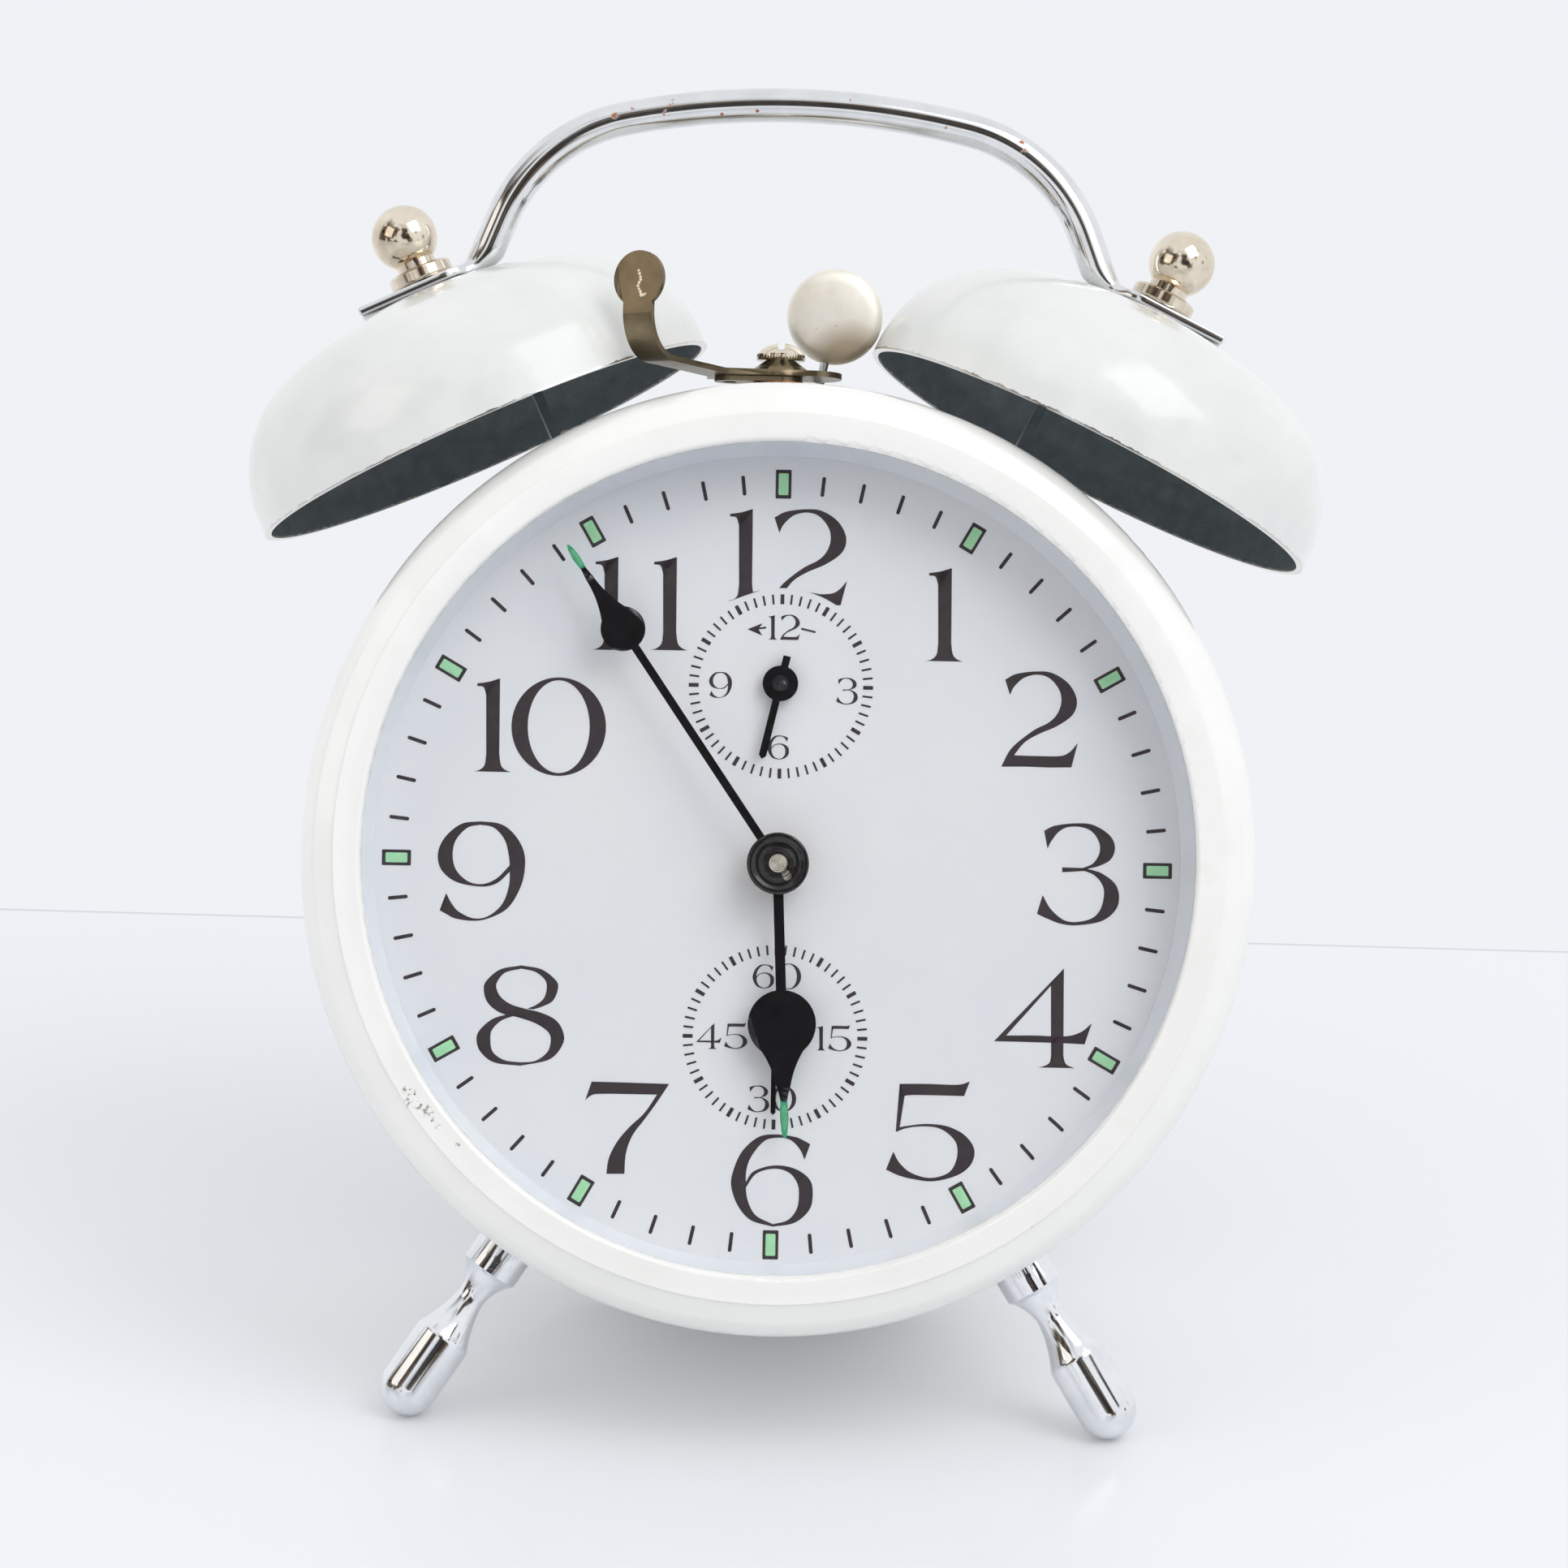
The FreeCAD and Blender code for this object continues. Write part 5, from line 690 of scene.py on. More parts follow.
def dial_enamel(name, pale, deep, dust):
    """Satin white enamel with a faint cloudiness and dust specks, more of them with dust."""
    material, tree, where = blank(name)
    speck = patches(tree, where, 0.5, 0.80 - dust, 0.83 - dust, seed=11, detail=3, to=(0.0, 0.6))
    cloud = patches(tree, where, 16, 0.3, 0.7)
    return finished(material, patches(tree, where, 0.7, 0.0, 1.0, detail=2), 0.004, {
        "Base Color": layered(tree, deep, (cloud, pale), (speck, "#FAFAFA")),
        "Roughness": patches(tree, where, 9, 0.3, 0.7, to=(0.30, 0.40))})


smooth(lens_glass(), "lens")
smooth(dial_enamel("dial_plate_enamel", "#FBFDFF", "#F5F9FF", 0.0), "dial_plate")
# Painted tint: the wall is painted a little bluer than the dial for the pale blue light it catches.
smooth(dial_enamel("dial_wall_enamel_painted_blue", "#F8FBFF", "#F0F5FF", 0.07), "dial_ring")
print("glass, dial and dial wall")

# %% [markdown]
# ## Pen strokes for the numerals
# The numerals are upright roman figures with thick and thin strokes. Each is drawn as a few
# pen strokes, and a stroke is the surface between two edge lines. An edge is a smooth line
# through a few points, so the thick and thin parts and the wedge-shaped ends come from
# how far the two edges are apart. The points are in tenths of a millimetre, more or
# less: one unit is FIGURE_UNIT_MM, from the figure's left side and its foot. A stroke is a
# row of numbers, x and z in turn, with a bar between its two edges.
# %% Numerals
FIGURE_UNIT_MM = 1 / 10.15
STROKE_STEPS = 9
FIGURES = {
    "1": ["4 109 18 111 32 115 | 4 106 12 104 16 90",
          "15 108 15 22 | 32 115 31 22",
          "15 22 13 9 7 3 0 1 | 31 22 33 9 38 3 45 0"],
    "2": ["5 108 19 115 43 118 63 116 83 103 93 83 88 65 69 51 46 41 29 31 18 18 16 15 | 11 89 16 "
          "99 28 110 44 114 59 110 71 96 74 81 69 66 58 55 39 45 13 24 0 1",
          "16 15 45 14 72 14 84 19 94 30 | 0 1 30 1 58 0 73 0 86 0"],
    "3": ["10 116 23 122 48 125 70 123 90 111 97 96 92 81 78 73 62 69 | 14 94 20 105 32 118 50 "
          "121 67 116 77 103 78 89 70 76 57 70",
          "32 71 64 70 | 32 65 64 67",
          "60 70 80 64 97 51 102 34 97 18 80 5 50 0 30 2 14 8 1 14 | 56 68 72 61 82 48 83 34 78 "
          "18 67 8 48 4 33 7 18 20 8 37"],
    "4": ["70 104 70 15 | 86 122 85 15",
          "70 15 68 7 62 3 54 1 | 85 15 87 7 91 3 99 0",
          "86 122 0 33 | 71 102 15 40",
          "15 40 50 40 86 39 106 44 120 55 | 0 33 40 32 75 31 98 30 111 29"],
    "5": ["17 119 50 119 88 118 103 122 | 17 100 27 105 60 105 96 104",
          "17 119 12 60 | 23 104 17 66",
          "17 66 29 68 51 70 76 67 96 57 108 40 105 22 89 8 59 0 32 3 14 8 0 14 | 12 60 26 65 46 "
          "67 64 65 78 57 87 44 86 25 76 10 54 4 32 10 17 22 9 36"],
    "6": ["97 101 88 106 78 110 56 113 34 110 14 93 3 70 0 50 8 26 24 8 51 0 | 90 82 84 95 73 106 "
          "58 109 41 105 26 88 19 71 18 52 20 33 30 14 51 3",
          "18 55 28 68 53 75 78 71 96 58 100 41 96 21 78 5 51 0 | 18 48 31 65 53 71 71 66 81 53 "
          "83 38 80 21 69 8 51 3"],
    "7": ["8 113 45 112 75 111 103 110 | 0 90 7 96 21 98 88 97",
          "103 110 89 89 73 67 58 47 50 25 48 0 | 88 97 73 75 54 57 39 39 29 19 26 0"],
    "8": ["55 123 29 118 12 104 9 92 14 77 29 65 52 59 72 52 87 42 91 32 87 17 72 6 54 4 | 55 119 "
          "35 114 25 102 25 93 31 83 43 75 59 70 79 65 97 56 106 42 106 27 90 8 54 0",
          "55 123 80 118 97 105 100 95 94 80 82 73 70 69 | 55 119 72 115 84 105 86 94 82 82 72 74 "
          "62 70",
          "37 63 19 57 4 44 0 32 5 17 22 4 54 0 | 45 61 30 55 19 44 17 32 20 17 34 7 54 4"],
    "9": ["53 122 30 119 10 103 1 83 5 63 23 48 53 42 73 46 89 60 | 53 118 37 114 23 99 19 81 23 "
          "63 37 49 55 45 73 52 89 68",
          "53 122 77 119 93 108 105 89 108 69 103 43 87 16 63 3 43 0 22 3 12 8 3 13 | 53 118 70 "
          "114 83 99 88 79 89 63 88 43 80 21 63 6 45 3 27 11 18 21 11 34"],
}
ZERO_CENTRE, ZERO_OUTER, ZERO_INNER = (58, 60.5), (58, 60.5), (38, 57)
SLIVER_AREA = 1e-6


def smooth_line(points, steps):
    """A line through the points that leaves each one towards the next but one's
    neighbour (Catmull-Rom): between points b and c, with a before and d after, it is
    half of 2b + (c - a)t + (2a - 5b + 4c - d)t^2 + (3b - a - 3c + d)t^3."""
    points = np.asarray(points, float)
    ends = [2 * points[0] - points[1], 2 * points[-1] - points[-2]]
    padded = np.vstack([ends[0], points, ends[1]])
    a, b, c, d = (padded[i:len(padded) - 3 + i, None, :] for i in range(4))
    t = np.linspace(0, 1, steps, endpoint=False)[None, :, None]
    line = (2 * b + (c - a) * t + (2 * a - 5 * b + 4 * c - d) * t ** 2
            + (3 * b - a - 3 * c + d) * t ** 3) / 2
    return np.vstack([line.reshape(-1, 2), points[-1:]])


def oval(centre, radii, count=72):
    """Points round an ellipse: the centre plus the radii times sine and cosine."""
    angle = np.linspace(0, 2 * np.pi, count, endpoint=False)
    return np.asarray(centre) + np.stack([np.sin(angle), np.cos(angle)], -1) * np.asarray(radii)


def edges_of(name):
    """The pairs of edge lines of one figure, and whether each stroke closes on itself."""
    if name == "0":
        return [(oval(ZERO_CENTRE, ZERO_OUTER), oval(ZERO_CENTRE, ZERO_INNER), True)]
    return [(*(smooth_line(np.array(edge.split(), float).reshape(-1, 2), STROKE_STEPS)
               for edge in stroke.split("|")), False) for stroke in FIGURES[name]]


def figure(name):
    """One figure's points and faces in its own units, centred on its own box."""
    strokes = [np.stack([outer, inner], 1) for outer, inner, _ in edges_of(name)]
    closed = [wrap for *_, wrap in edges_of(name)]
    points, faces = joined([(grid.reshape(-1, 2), grid_faces(len(grid), 2, wrap))
                            for grid, wrap in zip(strokes, closed)])
    low, high = points.min(0), points.max(0)
    return points - (low + high) / 2, faces, high - low


def front_side(points, faces):
    """Faces turned so that each looks at the viewer: seen from the front, its corners
    run anticlockwise."""
    faces = np.array(faces)
    corner = points[faces]
    step = np.roll(corner, -1, 1)
    area = (corner[..., 0] * step[..., 1] - step[..., 0] * corner[..., 1]).sum(1)
    return np.where((area < 0)[:, None], faces[:, ::-1], faces)[np.abs(area) > SLIVER_AREA]


def lettering(text, centre, unit_mm, gap=0.0, tilt=0.0):
    """A row of figures on the dial, in mm: centred on a place, side by side with a gap,
    each turned by tilt about the row's centre."""
    glyphs = [figure(letter) for letter in text]
    pen = -(sum(size[0] for *_, size in glyphs) * unit_mm + gap * (len(glyphs) - 1)) / 2
    row = []
    for shape, quads, size in glyphs:
        row.append((shape * unit_mm + (pen + size[0] * unit_mm / 2, 0), quads))
        pen += size[0] * unit_mm + gap
    points, faces = joined(row)
    return turned_to(points, -tilt) + centre, faces


def kept_outside(points, faces, centre, radius):
    """What lies inside a circle is cut off: its points move out to the circle, and faces
    wholly inside it go."""
    away = points - centre
    distance = np.linalg.norm(away, axis=1)[:, None]
    inside = distance < radius
    moved = np.where(inside, centre + away / distance * radius, points)
    return moved, [face for face in faces if not inside[face].all()]


# %% [markdown]
# ## Printing the dial
# The print is a thin film of near-black ink that stands a few hundredths of a millimetre
# on the dial. It is modelled as a real film, a hair above the enamel, so that its edges
# stay sharp at any distance. The hour figures keep clear of the small alarm dial, whose
# ring cuts off the feet of the twelve.
# %% Ink and its pieces
INK_DEPTH = -0.03
NUMERAL_TILT = math.radians(1.05)
HOUR_FIGURES = [("1", (-4.5, 37.25)), ("2", (3.2, 37.2)), ("1", (19.71, 30.51)), ("2", (31.43, 18.06)),
                ("3", (36.4, -0.59)), ("4", (32.44, -18.06)), ("5", (19.06, -31.95)),
                ("6", (0.04, -38.25)), ("7", (-17.54, -32.15)), ("8", (-30.68, -18.84)),
                ("9", (-35.7, -1.47)), ("1", (-34.71, 16.18)), ("0", (-26.68, 16.16)),
                ("1", (-20.66, 31.17)), ("1", (-13.58, 31.27))]
ALARM_DIAL, SECONDS_DIAL = np.array([0.1, 21.51]), np.array([0.12, -20.94])
CLEAR_RADIUS = 11.9


def printing_ink():
    """Screen-printed ink: near black, a little brown, satin, with pinholes."""
    material, tree, where = blank("dial_ink")
    worn = patches(tree, where, 0.45, 0.76, 0.80, seed=2, detail=3, to=(0.0, 0.75))
    return finished(material, patches(tree, where, 0.3, 0.0, 1.0, detail=2), 0.004, {
        "Base Color": layered(tree, "#332C30", (patches(tree, where, 2.5, 0.3, 0.7), "#40363A"),
                              (worn, "#C9CCD6")), "Roughness": 0.45})


ink = printing_ink()


def printed(name, points, faces):
    """A flat film of ink on the dial, on the case's own body."""
    piece = mesh_piece(name, on_dial(points, INK_DEPTH), front_side(points, faces))
    return dress(piece, ink, "root")


big = [lettering(text, centre, FIGURE_UNIT_MM, tilt=NUMERAL_TILT) for text, centre in HOUR_FIGURES]
points, faces = kept_outside(*joined(big), ALARM_DIAL, CLEAR_RADIUS)
printed("hour_numerals", points, faces)
print("hour numerals:", len(faces), "faces")

# %% [markdown]
# ## Minute ticks and hour marks
# Four ticks stand between each two hours. At each hour a black frame is printed and filled
# with luminous paint, which sits a little proud and is a soft green. All of them lie on
# one circle, so each is made once at twelve o'clock and turned to its place.
# %% Ticks, frames and luminous paint
MARK_RADIUS = 46.0
TICK_LONG, TICK_WIDE, TICK_CORNER = 2.4, 0.44, 0.198
FRAME_LONG, FRAME_WIDE, FRAME_CORNER = 3.5, 1.9, 0.12
LUME_LONG, LUME_WIDE, LUME_CORNER, LUME_GAP = 2.65, 1.2, 0.15, 0.01


def rounded_bar(long, wide, corner, steps=6):
    """A bar standing on its end, centred, in rows from foot to head. The half width of a
    row is the bar's, less what the quarter circle of the corner takes there."""
    angle = np.linspace(0, np.pi / 2, steps)
    half = wide / 2 - corner + corner * np.sin(angle)
    height = -long / 2 + corner - corner * np.cos(angle)
    half = np.concatenate([half, half[::-1]])
    height = np.concatenate([height, -height[::-1]])
    grid = np.stack([np.stack([-half, height], -1), np.stack([half, height], -1)], 1)
    return grid.reshape(-1, 2), grid_faces(len(grid), 2)


def round_dial(shape, count, radius, centre=(0, 0), skip=0):
    """Copies of a shape round a circle, the first at twelve o'clock, with every skip-th
    one left out."""
    points, faces = shape
    return joined([(turned_to(points + (0, radius), 2 * math.pi * i / count) + centre, faces)
                   for i in range(count) if not skip or i % skip])


tick = rounded_bar(TICK_LONG, TICK_WIDE, TICK_CORNER)
bar = rounded_bar(FRAME_LONG, FRAME_WIDE, FRAME_CORNER)
printed("minute_ticks", *round_dial(tick, 60, MARK_RADIUS, skip=5))
printed("hour_frames", *round_dial(bar, 12, MARK_RADIUS))


def luminous_paint(name, pale, deep):
    """Luminous paint: chalky green grains in a clear varnish, uneven in thickness."""
    material, tree, where = blank(name)
    grain = patches(tree, where, 0.28, 0.3, 0.8, detail=3, to=(0.0, 0.3))
    return finished(material, grain, 0.05, {
        "Base Color": layered(tree, deep, (patches(tree, where, 1.4, 0.3, 0.7, seed=3), pale),
                              (grain, "#C8F4CE")), "Roughness": 0.5})


HAND_LUME = ("#50BC8D", "#3FA475")
dial_lume = luminous_paint("luminous_paint_dial", "#B8F6C4", "#A6E8B2")
hand_lume = luminous_paint("luminous_paint_hands", *HAND_LUME)
LUME_HEIGHT = 0.10


def raised_bar(long, wide, corner, foot, height, rings=4):
    """A low pillow of paint: rings of a rounded bar that shrink towards the middle as
    they rise, with a height of 1 - (1 - s)^2 at a share s of the way in."""
    outline, _ = rounded_bar(long, wide, corner)
    loop = np.vstack([outline[1::2], outline[0::2][::-1]])
    share = np.linspace(0, 1, rings)[:, None, None]
    flat = loop[None] * (1 - share * np.array([0.9, 0.94]))
    depth = np.broadcast_to(foot - height * (1 - (1 - share) ** 2), (*flat.shape[:2], 1))
    top = list(range((rings - 1) * len(loop), rings * len(loop)))
    faces = ring_faces(rings, len(loop)).tolist() + [top]
    return np.concatenate([flat, depth], -1).reshape(-1, 3), faces


def lume_marks():
    """Twelve pillows of luminous paint, one in each hour frame."""
    pillow, faces = raised_bar(LUME_LONG, LUME_WIDE, LUME_CORNER, INK_DEPTH - LUME_GAP, LUME_HEIGHT)
    flat = pillow[:, :2] + (0, MARK_RADIUS)
    marks = [(on_dial(turned_to(flat, 2 * math.pi * hour / 12), pillow[:, 2]), faces)
             for hour in range(12)]
    return mesh_piece("hour_lume", *joined(marks), smooth=True)


dress(lume_marks(), dial_lume, "root")
print("ticks, frames and twelve luminous marks")

# %% [markdown]
# ## The two small dials
# The upper one is the alarm's: sixty fine ticks, every fifth one bolder, the hours 12, 3, 6
# and 9 and an arrow that says which way its hand is set. The lower one counts seconds.
# %% Small dials
SMALL_RADIUS, SMALL_LONG = 10.55, 1.2
SMALL_FINE, SMALL_BOLD, SMALL_CORNER = 0.24, 0.46, 0.03
SMALL_FIGURES = {
    "alarm": [("12", (0.25, 7.15)), ("3", (8.0, -0.45)), ("6", (-0.2, -7.4)), ("9", (-7.3, 0.05))],
    "seconds": [("60", (0.1, 7.35)), ("15", (7.1, 0.0)), ("30", (-0.25, -7.45)), ("45", (-6.45, 0.05))],
}
SMALL_UNIT_MM = FIGURE_UNIT_MM * 0.262

fine, bold = (rounded_bar(SMALL_LONG, wide, SMALL_CORNER) for wide in (SMALL_FINE, SMALL_BOLD))
for name, centre in (("alarm", ALARM_DIAL), ("seconds", SECONDS_DIAL)):
    ring = [round_dial(fine, 60, SMALL_RADIUS, centre, skip=5),
            round_dial(bold, 12, SMALL_RADIUS, centre)]
    figures = [lettering(text, centre + np.array(place), SMALL_UNIT_MM, 0.28, NUMERAL_TILT)
               for text, place in SMALL_FIGURES[name]]
    printed(name + "_dial_print", *joined(ring + figures))


def setting_arrow():
    """The alarm's arrow: a barbed head, a stem to the figures and a dash beyond them."""
    head = np.array([(-4.15, 6.70), (-2.35, 7.45), (-2.85, 6.75), (-2.35, 5.95)]) + (0, 0.15)
    stem = np.array([(-2.9, 7.05), (-1.9, 7.2), (-1.9, 6.98), (-2.9, 6.83)])
    dash = np.array([(2.35, 7.15), (4.1, 6.75), (4.05, 6.52), (2.3, 6.92)])
    quad = np.array([[0, 1, 2, 3]])
    return joined([(shape + ALARM_DIAL, quad) for shape in (head, stem, dash)])


printed("setting_arrow", *setting_arrow())
print("alarm and seconds dials printed")

# %% [markdown]
# ## Hands
# The hands are stamped steel in gloss black. The tips of the hour and minute hands are
# filled with luminous paint, a little darker than the dial's, in a long drop that stands
# out on both sides of the narrow tip.
# %% Hand enamel and tips
HUB_RINGS_MM = 0.95
HUB_RADIUS_MM = 3.7
HUB_FADE_MM, DIP_RAGGED_MM = 0.3, 0.3
KEY_MM = [((0.98, -4.4, -1.20), 0.53), ((1.18, -4.4, -1.52), 0.53)]


def hand_enamel(name, joint, tip_from_mm=100.0):
    """Gloss black stoving enamel, dusty. Further than tip_from_mm from the joint's line the
    hand is dipped in luminous paint, and round the joint the pressed hub shows as soft
    rings. At KEY_MM the bright end of the key beside the arbor shows."""
    material, tree, where = blank(name)
    dust = patches(tree, where, 0.32, 0.72, 0.77, seed=6, detail=3, to=(0.0, 0.4))
    radius = from_joint(tree, where, joint)
    ragged = patches(tree, where, 0.5, 0.0, 1.0, seed=4, to=(-DIP_RAGGED_MM * MM, DIP_RAGGED_MM * MM))
    reach = add(tree, "Math", {0: radius, 1: ragged}, operation="ADD")
    dipped = add(tree, "MapRange", {"Value": reach, "From Min": tip_from_mm * MM,
                                    "From Max": (tip_from_mm + DIP_RAGGED_MM) * MM})
    paint = layered(tree, HAND_LUME[1], (patches(tree, where, 0.6, 0.3, 0.7), HAND_LUME[0]))
    hub = add(tree, "MapRange", {"Value": radius, "From Min": HUB_RADIUS_MM * MM,
                                 "From Max": (HUB_RADIUS_MM - HUB_FADE_MM) * MM, "To Max": 0.5})
    pressed = turned_rings(tree, radius, HUB_RINGS_MM)
    key = spots(tree, where, KEY_MM, core=0.849)
    return finished(material, add(tree, "Math", {0: pressed, 1: hub}, operation="MULTIPLY"), 0.03, {
        "Base Color": layered(tree, "#0A090A", (patches(tree, where, 3, 0.3, 0.7), "#151215"),
                              (dust, "#8C8688"), (dipped, paint), (key, "#B9B4AA")),
        "Roughness": patches(tree, where, 1.5, 0.3, 0.8, to=(0.12, 0.26)),
        "Coat Weight": 0.3, "Metallic": key})


TIP_DEPTH_MM = 0.4
TIP_SHARES, TIP_WIDTHS = (-0.35, 0.0, 0.45, 0.8, 1.0), (1.0, 0.60, 0.85, 0.68, 0.30)
TIP_CUTS = 16


def hand_corners(hand, joint):
    """The place of a hand's joint, and the steps from there to each of its corners."""
    hub = np.array(joint_of[joint]["pos_m"], float)
    return hub, np.array([vertex.co for vertex in nodes[hand].data.vertices], float) - hub


def hand_line(hand, joint):
    """Where a hand's joint is, the direction of its tip, the tip's reach and its depth."""
    hub, steps = hand_corners(hand, joint)
    spoke = steps - np.outer(steps @ BACKWARD, BACKWARD)
    reach = np.linalg.norm(spoke, axis=1)
    far = reach > reach.max() - TIP_DEPTH_MM * MM
    return hub, unit(spoke[far].mean(0)), float(reach.max()), float((steps[far] @ BACKWARD).mean())


def slim_tip(hand, joint, dip_mm):
    """Draws the dipped end of a hand's finished copy out to a neck, a belly and a point.
    Planes across the hand cut its long triangles, and then each corner's distance from the
    middle line is scaled by the width that belongs to its share of the dip."""
    mesh = bpy.data.objects[hand + "_finished"].data
    hub, pointing, longest, _ = hand_line(hand, joint)
    shape = bmesh.new()
    shape.from_mesh(mesh)
    for share in np.linspace(TIP_SHARES[0], 0.98, TIP_CUTS):
        bmesh.ops.bisect_plane(shape, geom=shape.verts[:] + shape.edges[:] + shape.faces[:],
                               plane_co=hub + pointing * (longest - dip_mm * MM * (1 - share)),
                               plane_no=pointing)
    shape.to_mesh(mesh)
    shape.free()
    points = np.array([vertex.co for vertex in mesh.vertices], float)
    share = 1 - (longest - (points - hub) @ pointing) / (dip_mm * MM)
    sideways = np.cross(pointing, BACKWARD)
    off = (points - hub) @ sideways
    points += np.outer(off * (np.interp(share, TIP_SHARES, TIP_WIDTHS) - 1), sideways)
    mesh.vertices.foreach_set("co", points.ravel())
    mesh.update()
    mesh.set_sharp_from_angle(angle=math.radians(34))


# A dipped hand: its joint, its body, and its drop's length, width and thickness in mm.
DIPPED = {"minute_hand": ("minute_turn", "minute_train", 3.5, 0.9, 0.66),
          "hour_hand": ("hour_turn", "hour_train", 4.6, 1.0, 0.72)}
SAME_ENAMEL = {"minute_hand": ["minute_hand", "cannon_pinion"], "hour_hand": ["hour_hand"]}
for hand, (joint, _, drop_mm, *_) in DIPPED.items():
    dip_from_mm = hand_line(hand, joint)[2] / MM - drop_mm
    smooth(hand_enamel(hand + "_enamel", joint, dip_from_mm), *SAME_ENAMEL[hand])
    slim_tip(hand, joint, drop_mm)
minute_enamel = bpy.data.materials["minute_hand_enamel"]
smooth(hand_enamel("small_hand_enamel", "minute_turn"), "alarm_hand", "seconds_hand", "alarm_arbor")

# %% [markdown]
# The minute hand's hub is pressed into a shallow dish with a raised rim and a small collar
# round the pin. It is a profile turned about the hand's joint, from the rim to the collar.
# %% Hub dish
HUB_PROFILE_MM = [(3.74, -0.10), (3.74, 0.06), (3.68, 0.15), (3.54, 0.21), (3.34, 0.22), (3.14, 0.17),
                  (2.94, 0.09), (2.70, 0.03), (2.35, 0.01), (2.05, 0.03), (1.90, 0.09), (1.76, 0.14),
                  (1.60, 0.14), (1.48, 0.08), (1.42, -0.10)]
HUB_SIDES = 96


def hub_dish():
    """The dish: each profile point (radius, rise) is carried round the hub, at the angle a
    to radius (cos a across + sin a up), with the rise towards the viewer."""
    hub, steps = hand_corners("minute_hand", "minute_turn")
    front = float((steps @ BACKWARD).min())
    radius, rise = (np.array(HUB_PROFILE_MM) * MM).T[:, :, None, None]
    turn = np.linspace(0, 2 * np.pi, HUB_SIDES, endpoint=False)[None, :, None]
    points = hub + radius * (np.cos(turn) * ACROSS + np.sin(turn) * UPWARD) + (front - rise) * BACKWARD
    faces = ring_faces(len(HUB_PROFILE_MM), HUB_SIDES, wrap=True)
    piece = mesh_piece("hub_dish", points.reshape(-1, 3), faces, smooth=True)
    tidied(piece.data, piece.data)
    return dress(piece, minute_enamel, "minute_train")


hub_dish()
print("the hub's dish is", 2 * HUB_PROFILE_MM[0][0], "mm across")

# %% Luminous tips
DROP_ROWS, DROP_SIDES = 26, 17


def paint_drop(name, hand, joint, body, long, wide, thick):
    """A drop of luminous paint round a hand's tip: a spindle whose half width at a share
    u of its length is wide / 2 * sin(pi * u^0.85)^0.8, and whose section is an oval."""
    hub, pointing, longest, depth = hand_line(hand, joint)
    u = np.linspace(0, 1, DROP_ROWS)[:, None, None]
    angle = np.linspace(0, 2 * np.pi, DROP_SIDES)[None, :, None]
    full = MM / 2 * np.sin(np.pi * np.clip(u, 0.001, 0.999) ** 0.85) ** 0.8
    points = (hub + (longest - long * MM * (1 - u)) * pointing
              + wide * full * np.cos(angle) * np.cross(pointing, BACKWARD)
              + (depth + thick * full * np.sin(angle)) * BACKWARD)
    piece = mesh_piece(name, points.reshape(-1, 3), grid_faces(DROP_ROWS, DROP_SIDES), smooth=True)
    tidied(piece.data, piece.data)
    return dress(piece, hand_lume, body)


for hand, (joint, body, *drop) in DIPPED.items():
    paint_drop(hand + "_lume", hand, joint, body, *drop)
print("hands enamelled, with two luminous tips")

# %% [markdown]
# ## Light from the room
# The clock stood in a bright white room with a large window on the upper right. A pale world
# gives the even light. What polished metal mirrors is the room itself: white walls with
# brown and grey patches of furniture behind the camera, most of them on its left, and the
# dim figure at the camera, which is also what the flat glass mirrors, so that the dial
# stays clear behind it.
# %% World
FIGURE_CONE = {"From Min": math.cos(math.radians(9)), "From Max": math.cos(math.radians(7))}
CLUTTER_SCALE, CLUTTER_TO_LEFT = 2.6, 0.13
CLUTTER_EDGE = {"From Min": 0.505, "From Max": 0.56}
IN_FRONT = {"From Min": 0.20, "From Max": 0.0}
NOT_HIGH = {"From Min": 0.88, "From Max": 0.65}
TINT_SCALE, TINT_SPREAD = 7.0, {"From Min": 0.40, "From Max": 0.60}
LIGHT_STRENGTH = 0.965

world = bpy.data.worlds.new("studio")
bpy.context.scene.world = world
world.use_nodes = True
sky = world.node_tree
sky.nodes.clear()
look = add(sky, "TexCoord", out="Generated")
parts = add(sky, "SeparateXYZ", {"Vector": look}).node.outputs
clutter = add(sky, "TexNoise", {"Vector": look, "Scale": CLUTTER_SCALE, "Detail": 1.0,
                                "Roughness": 0.4})
clutter = add(sky, "Math", {0: parts["X"], 1: -CLUTTER_TO_LEFT, 2: clutter}, operation="MULTIPLY_ADD")
clutter = add(sky, "MapRange", {"Value": clutter, **CLUTTER_EDGE})
for way, kept in (("Y", IN_FRONT), ("Z", NOT_HIGH)):
    share = add(sky, "MapRange", {"Value": parts[way], **kept})
    clutter = add(sky, "Math", {0: clutter, 1: share}, operation="MULTIPLY")
tint = add(sky, "TexNoise", {"Vector": look, "Scale": TINT_SCALE})
tint = layered(sky, "#2F2823", (add(sky, "MapRange", {"Value": tint, **TINT_SPREAD}), "#7F7263"))
facing = add(sky, "VectorMath", {0: look, 1: tuple(-BACKWARD)}, operation="DOT_PRODUCT")
room = layered(sky, "#F8F9FB", (clutter, tint),
               (add(sky, "MapRange", {"Value": facing, **FIGURE_CONE}), "#3E3E41"),
               (add(sky, "LightPath", out="Is Camera Ray"), "#F0F2F6"))
light = add(sky, "Background", {"Color": "#F6F8FC", "Strength": LIGHT_STRENGTH})
mirrored = add(sky, "Background", {"Color": room, "Strength": 1.0})
surface = add(sky, "MixShader", {0: seen_directly(sky), 1: light, 2: mirrored})
add(sky, "OutputWorld", {"Surface": surface})
print("the room is ready")


# %% Lamps
LAMP_AIM = (0, 0, 0.07)


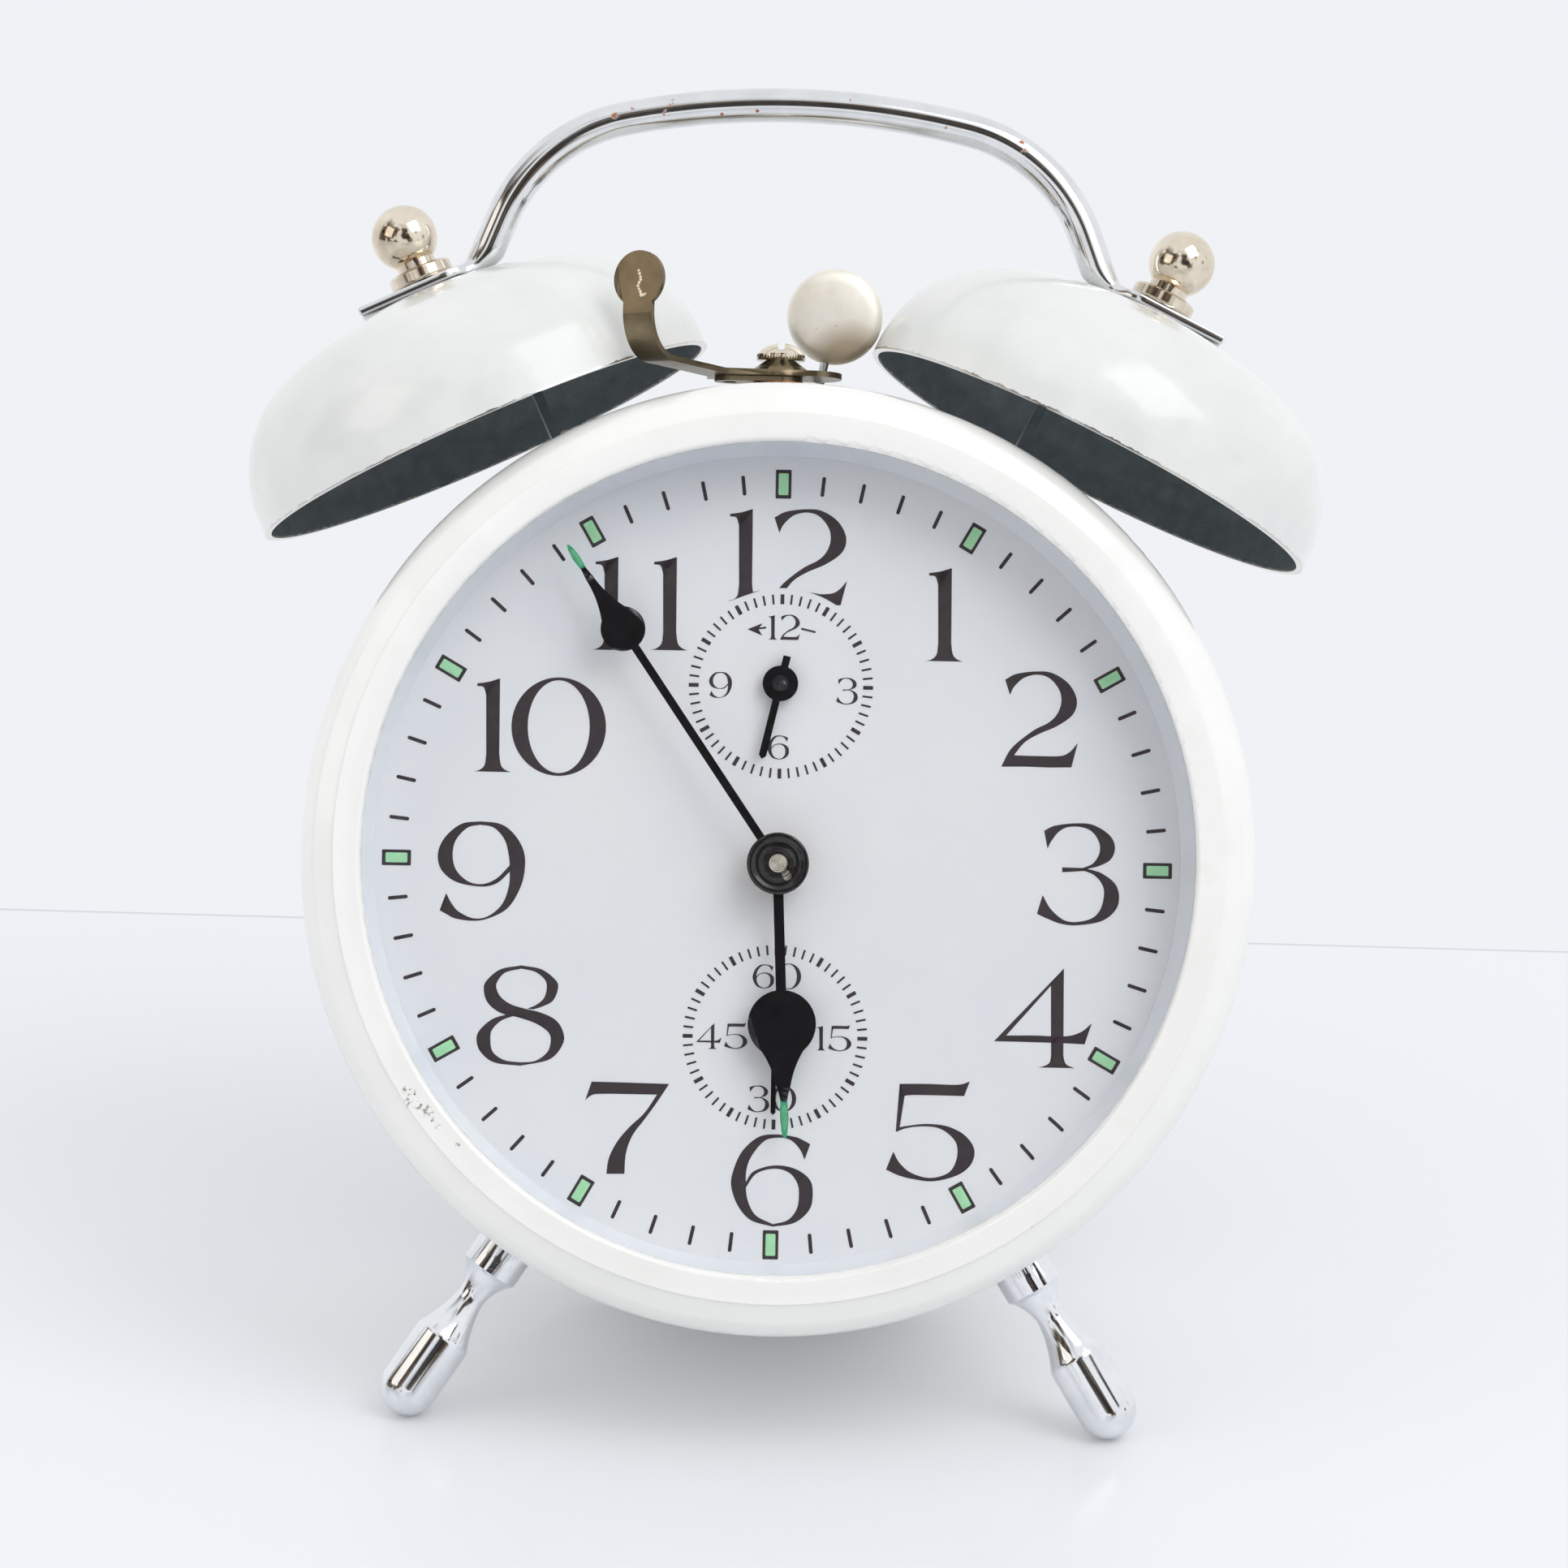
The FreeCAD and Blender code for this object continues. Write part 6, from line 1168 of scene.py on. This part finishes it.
def soft_box(name, place, size, power, code):
    """A square lamp in metres that faces the clock."""
    lamp = bpy.data.lights.new(name, "AREA")
    lamp.shape = "SQUARE"
    lamp.size = size
    lamp.energy = power
    lamp.color = colour(code)[:3]
    away = unit(np.array(place) - LAMP_AIM)
    side = unit(np.cross([0, 0, 1], away))
    stand(in_room(name, lamp), side, np.cross(away, side), away, place)


soft_box("window", (0.60, -0.50, 1.05), 0.75, 4.35, "#FFFFFF")
soft_box("fill", (-0.95, -0.55, 0.60), 0.6, 1.25, "#FFF8F0")
print("two lamps")

# %% [markdown]
# ## The board it stands on
# The clock stands on a glossy white board. Along its far edge runs a thin grey line of painted shade
# behind the clock, with the white wall above it.
# %% Floor
FLOOR_BACK, FLOOR_SLANT = 0.158, 0.0195
FLOOR_HALF = 1.6
SEAM_SHADE = 0.0012
FLOOR_LIFT = 0.15


def floor_board():
    """A glossy white board whose far edge runs a little askew, with a grey line of painted shade along
    it.
    The line is where y - slant * x comes within a millimetre of the edge. A small share of
    what is seen of the board is its plain colour, as white boards look in bright rooms."""
    wide, slant = FLOOR_HALF, FLOOR_SLANT * FLOOR_HALF
    piece = mesh_piece("floor", [(-wide, -wide, 0), (wide, -wide, 0), (wide, FLOOR_BACK + slant, 0),
                                 (-wide, FLOOR_BACK - slant, 0)], [(0, 1, 2, 3)])
    material, tree, where = blank("floor_white")
    part = add(tree, "SeparateXYZ", {"Vector": where}).node.outputs
    depth = add(tree, "Math", {0: part["X"], 1: -FLOOR_SLANT, 2: part["Y"]}, operation="MULTIPLY_ADD")
    # Painted shade: a thin grey line along the board's far edge, where it meets the wall.
    edge = add(tree, "MapRange", {"Value": depth, "From Min": FLOOR_BACK - SEAM_SHADE,
                                  "From Max": FLOOR_BACK, "To Max": 0.55})
    skin = layered(tree, "#EAEBEE", (edge, "#9AA0A8"))
    board = add(tree, "BsdfPrincipled", {"Base Color": skin, "Roughness": 0.22,
                                         "Specular IOR Level": 0.35})
    lift = add(tree, "Emission", {"Color": skin, "Strength": 1.0})
    share = add(tree, "Math", {0: seen_directly(tree), 1: FLOOR_LIFT}, operation="MULTIPLY")
    add(tree, "OutputMaterial", {"Surface": add(tree, "MixShader", {0: share, 1: board, 2: lift})})
    piece.data.materials.append(material)


floor_board()
print("the board is", 2 * FLOOR_HALF, "m wide")
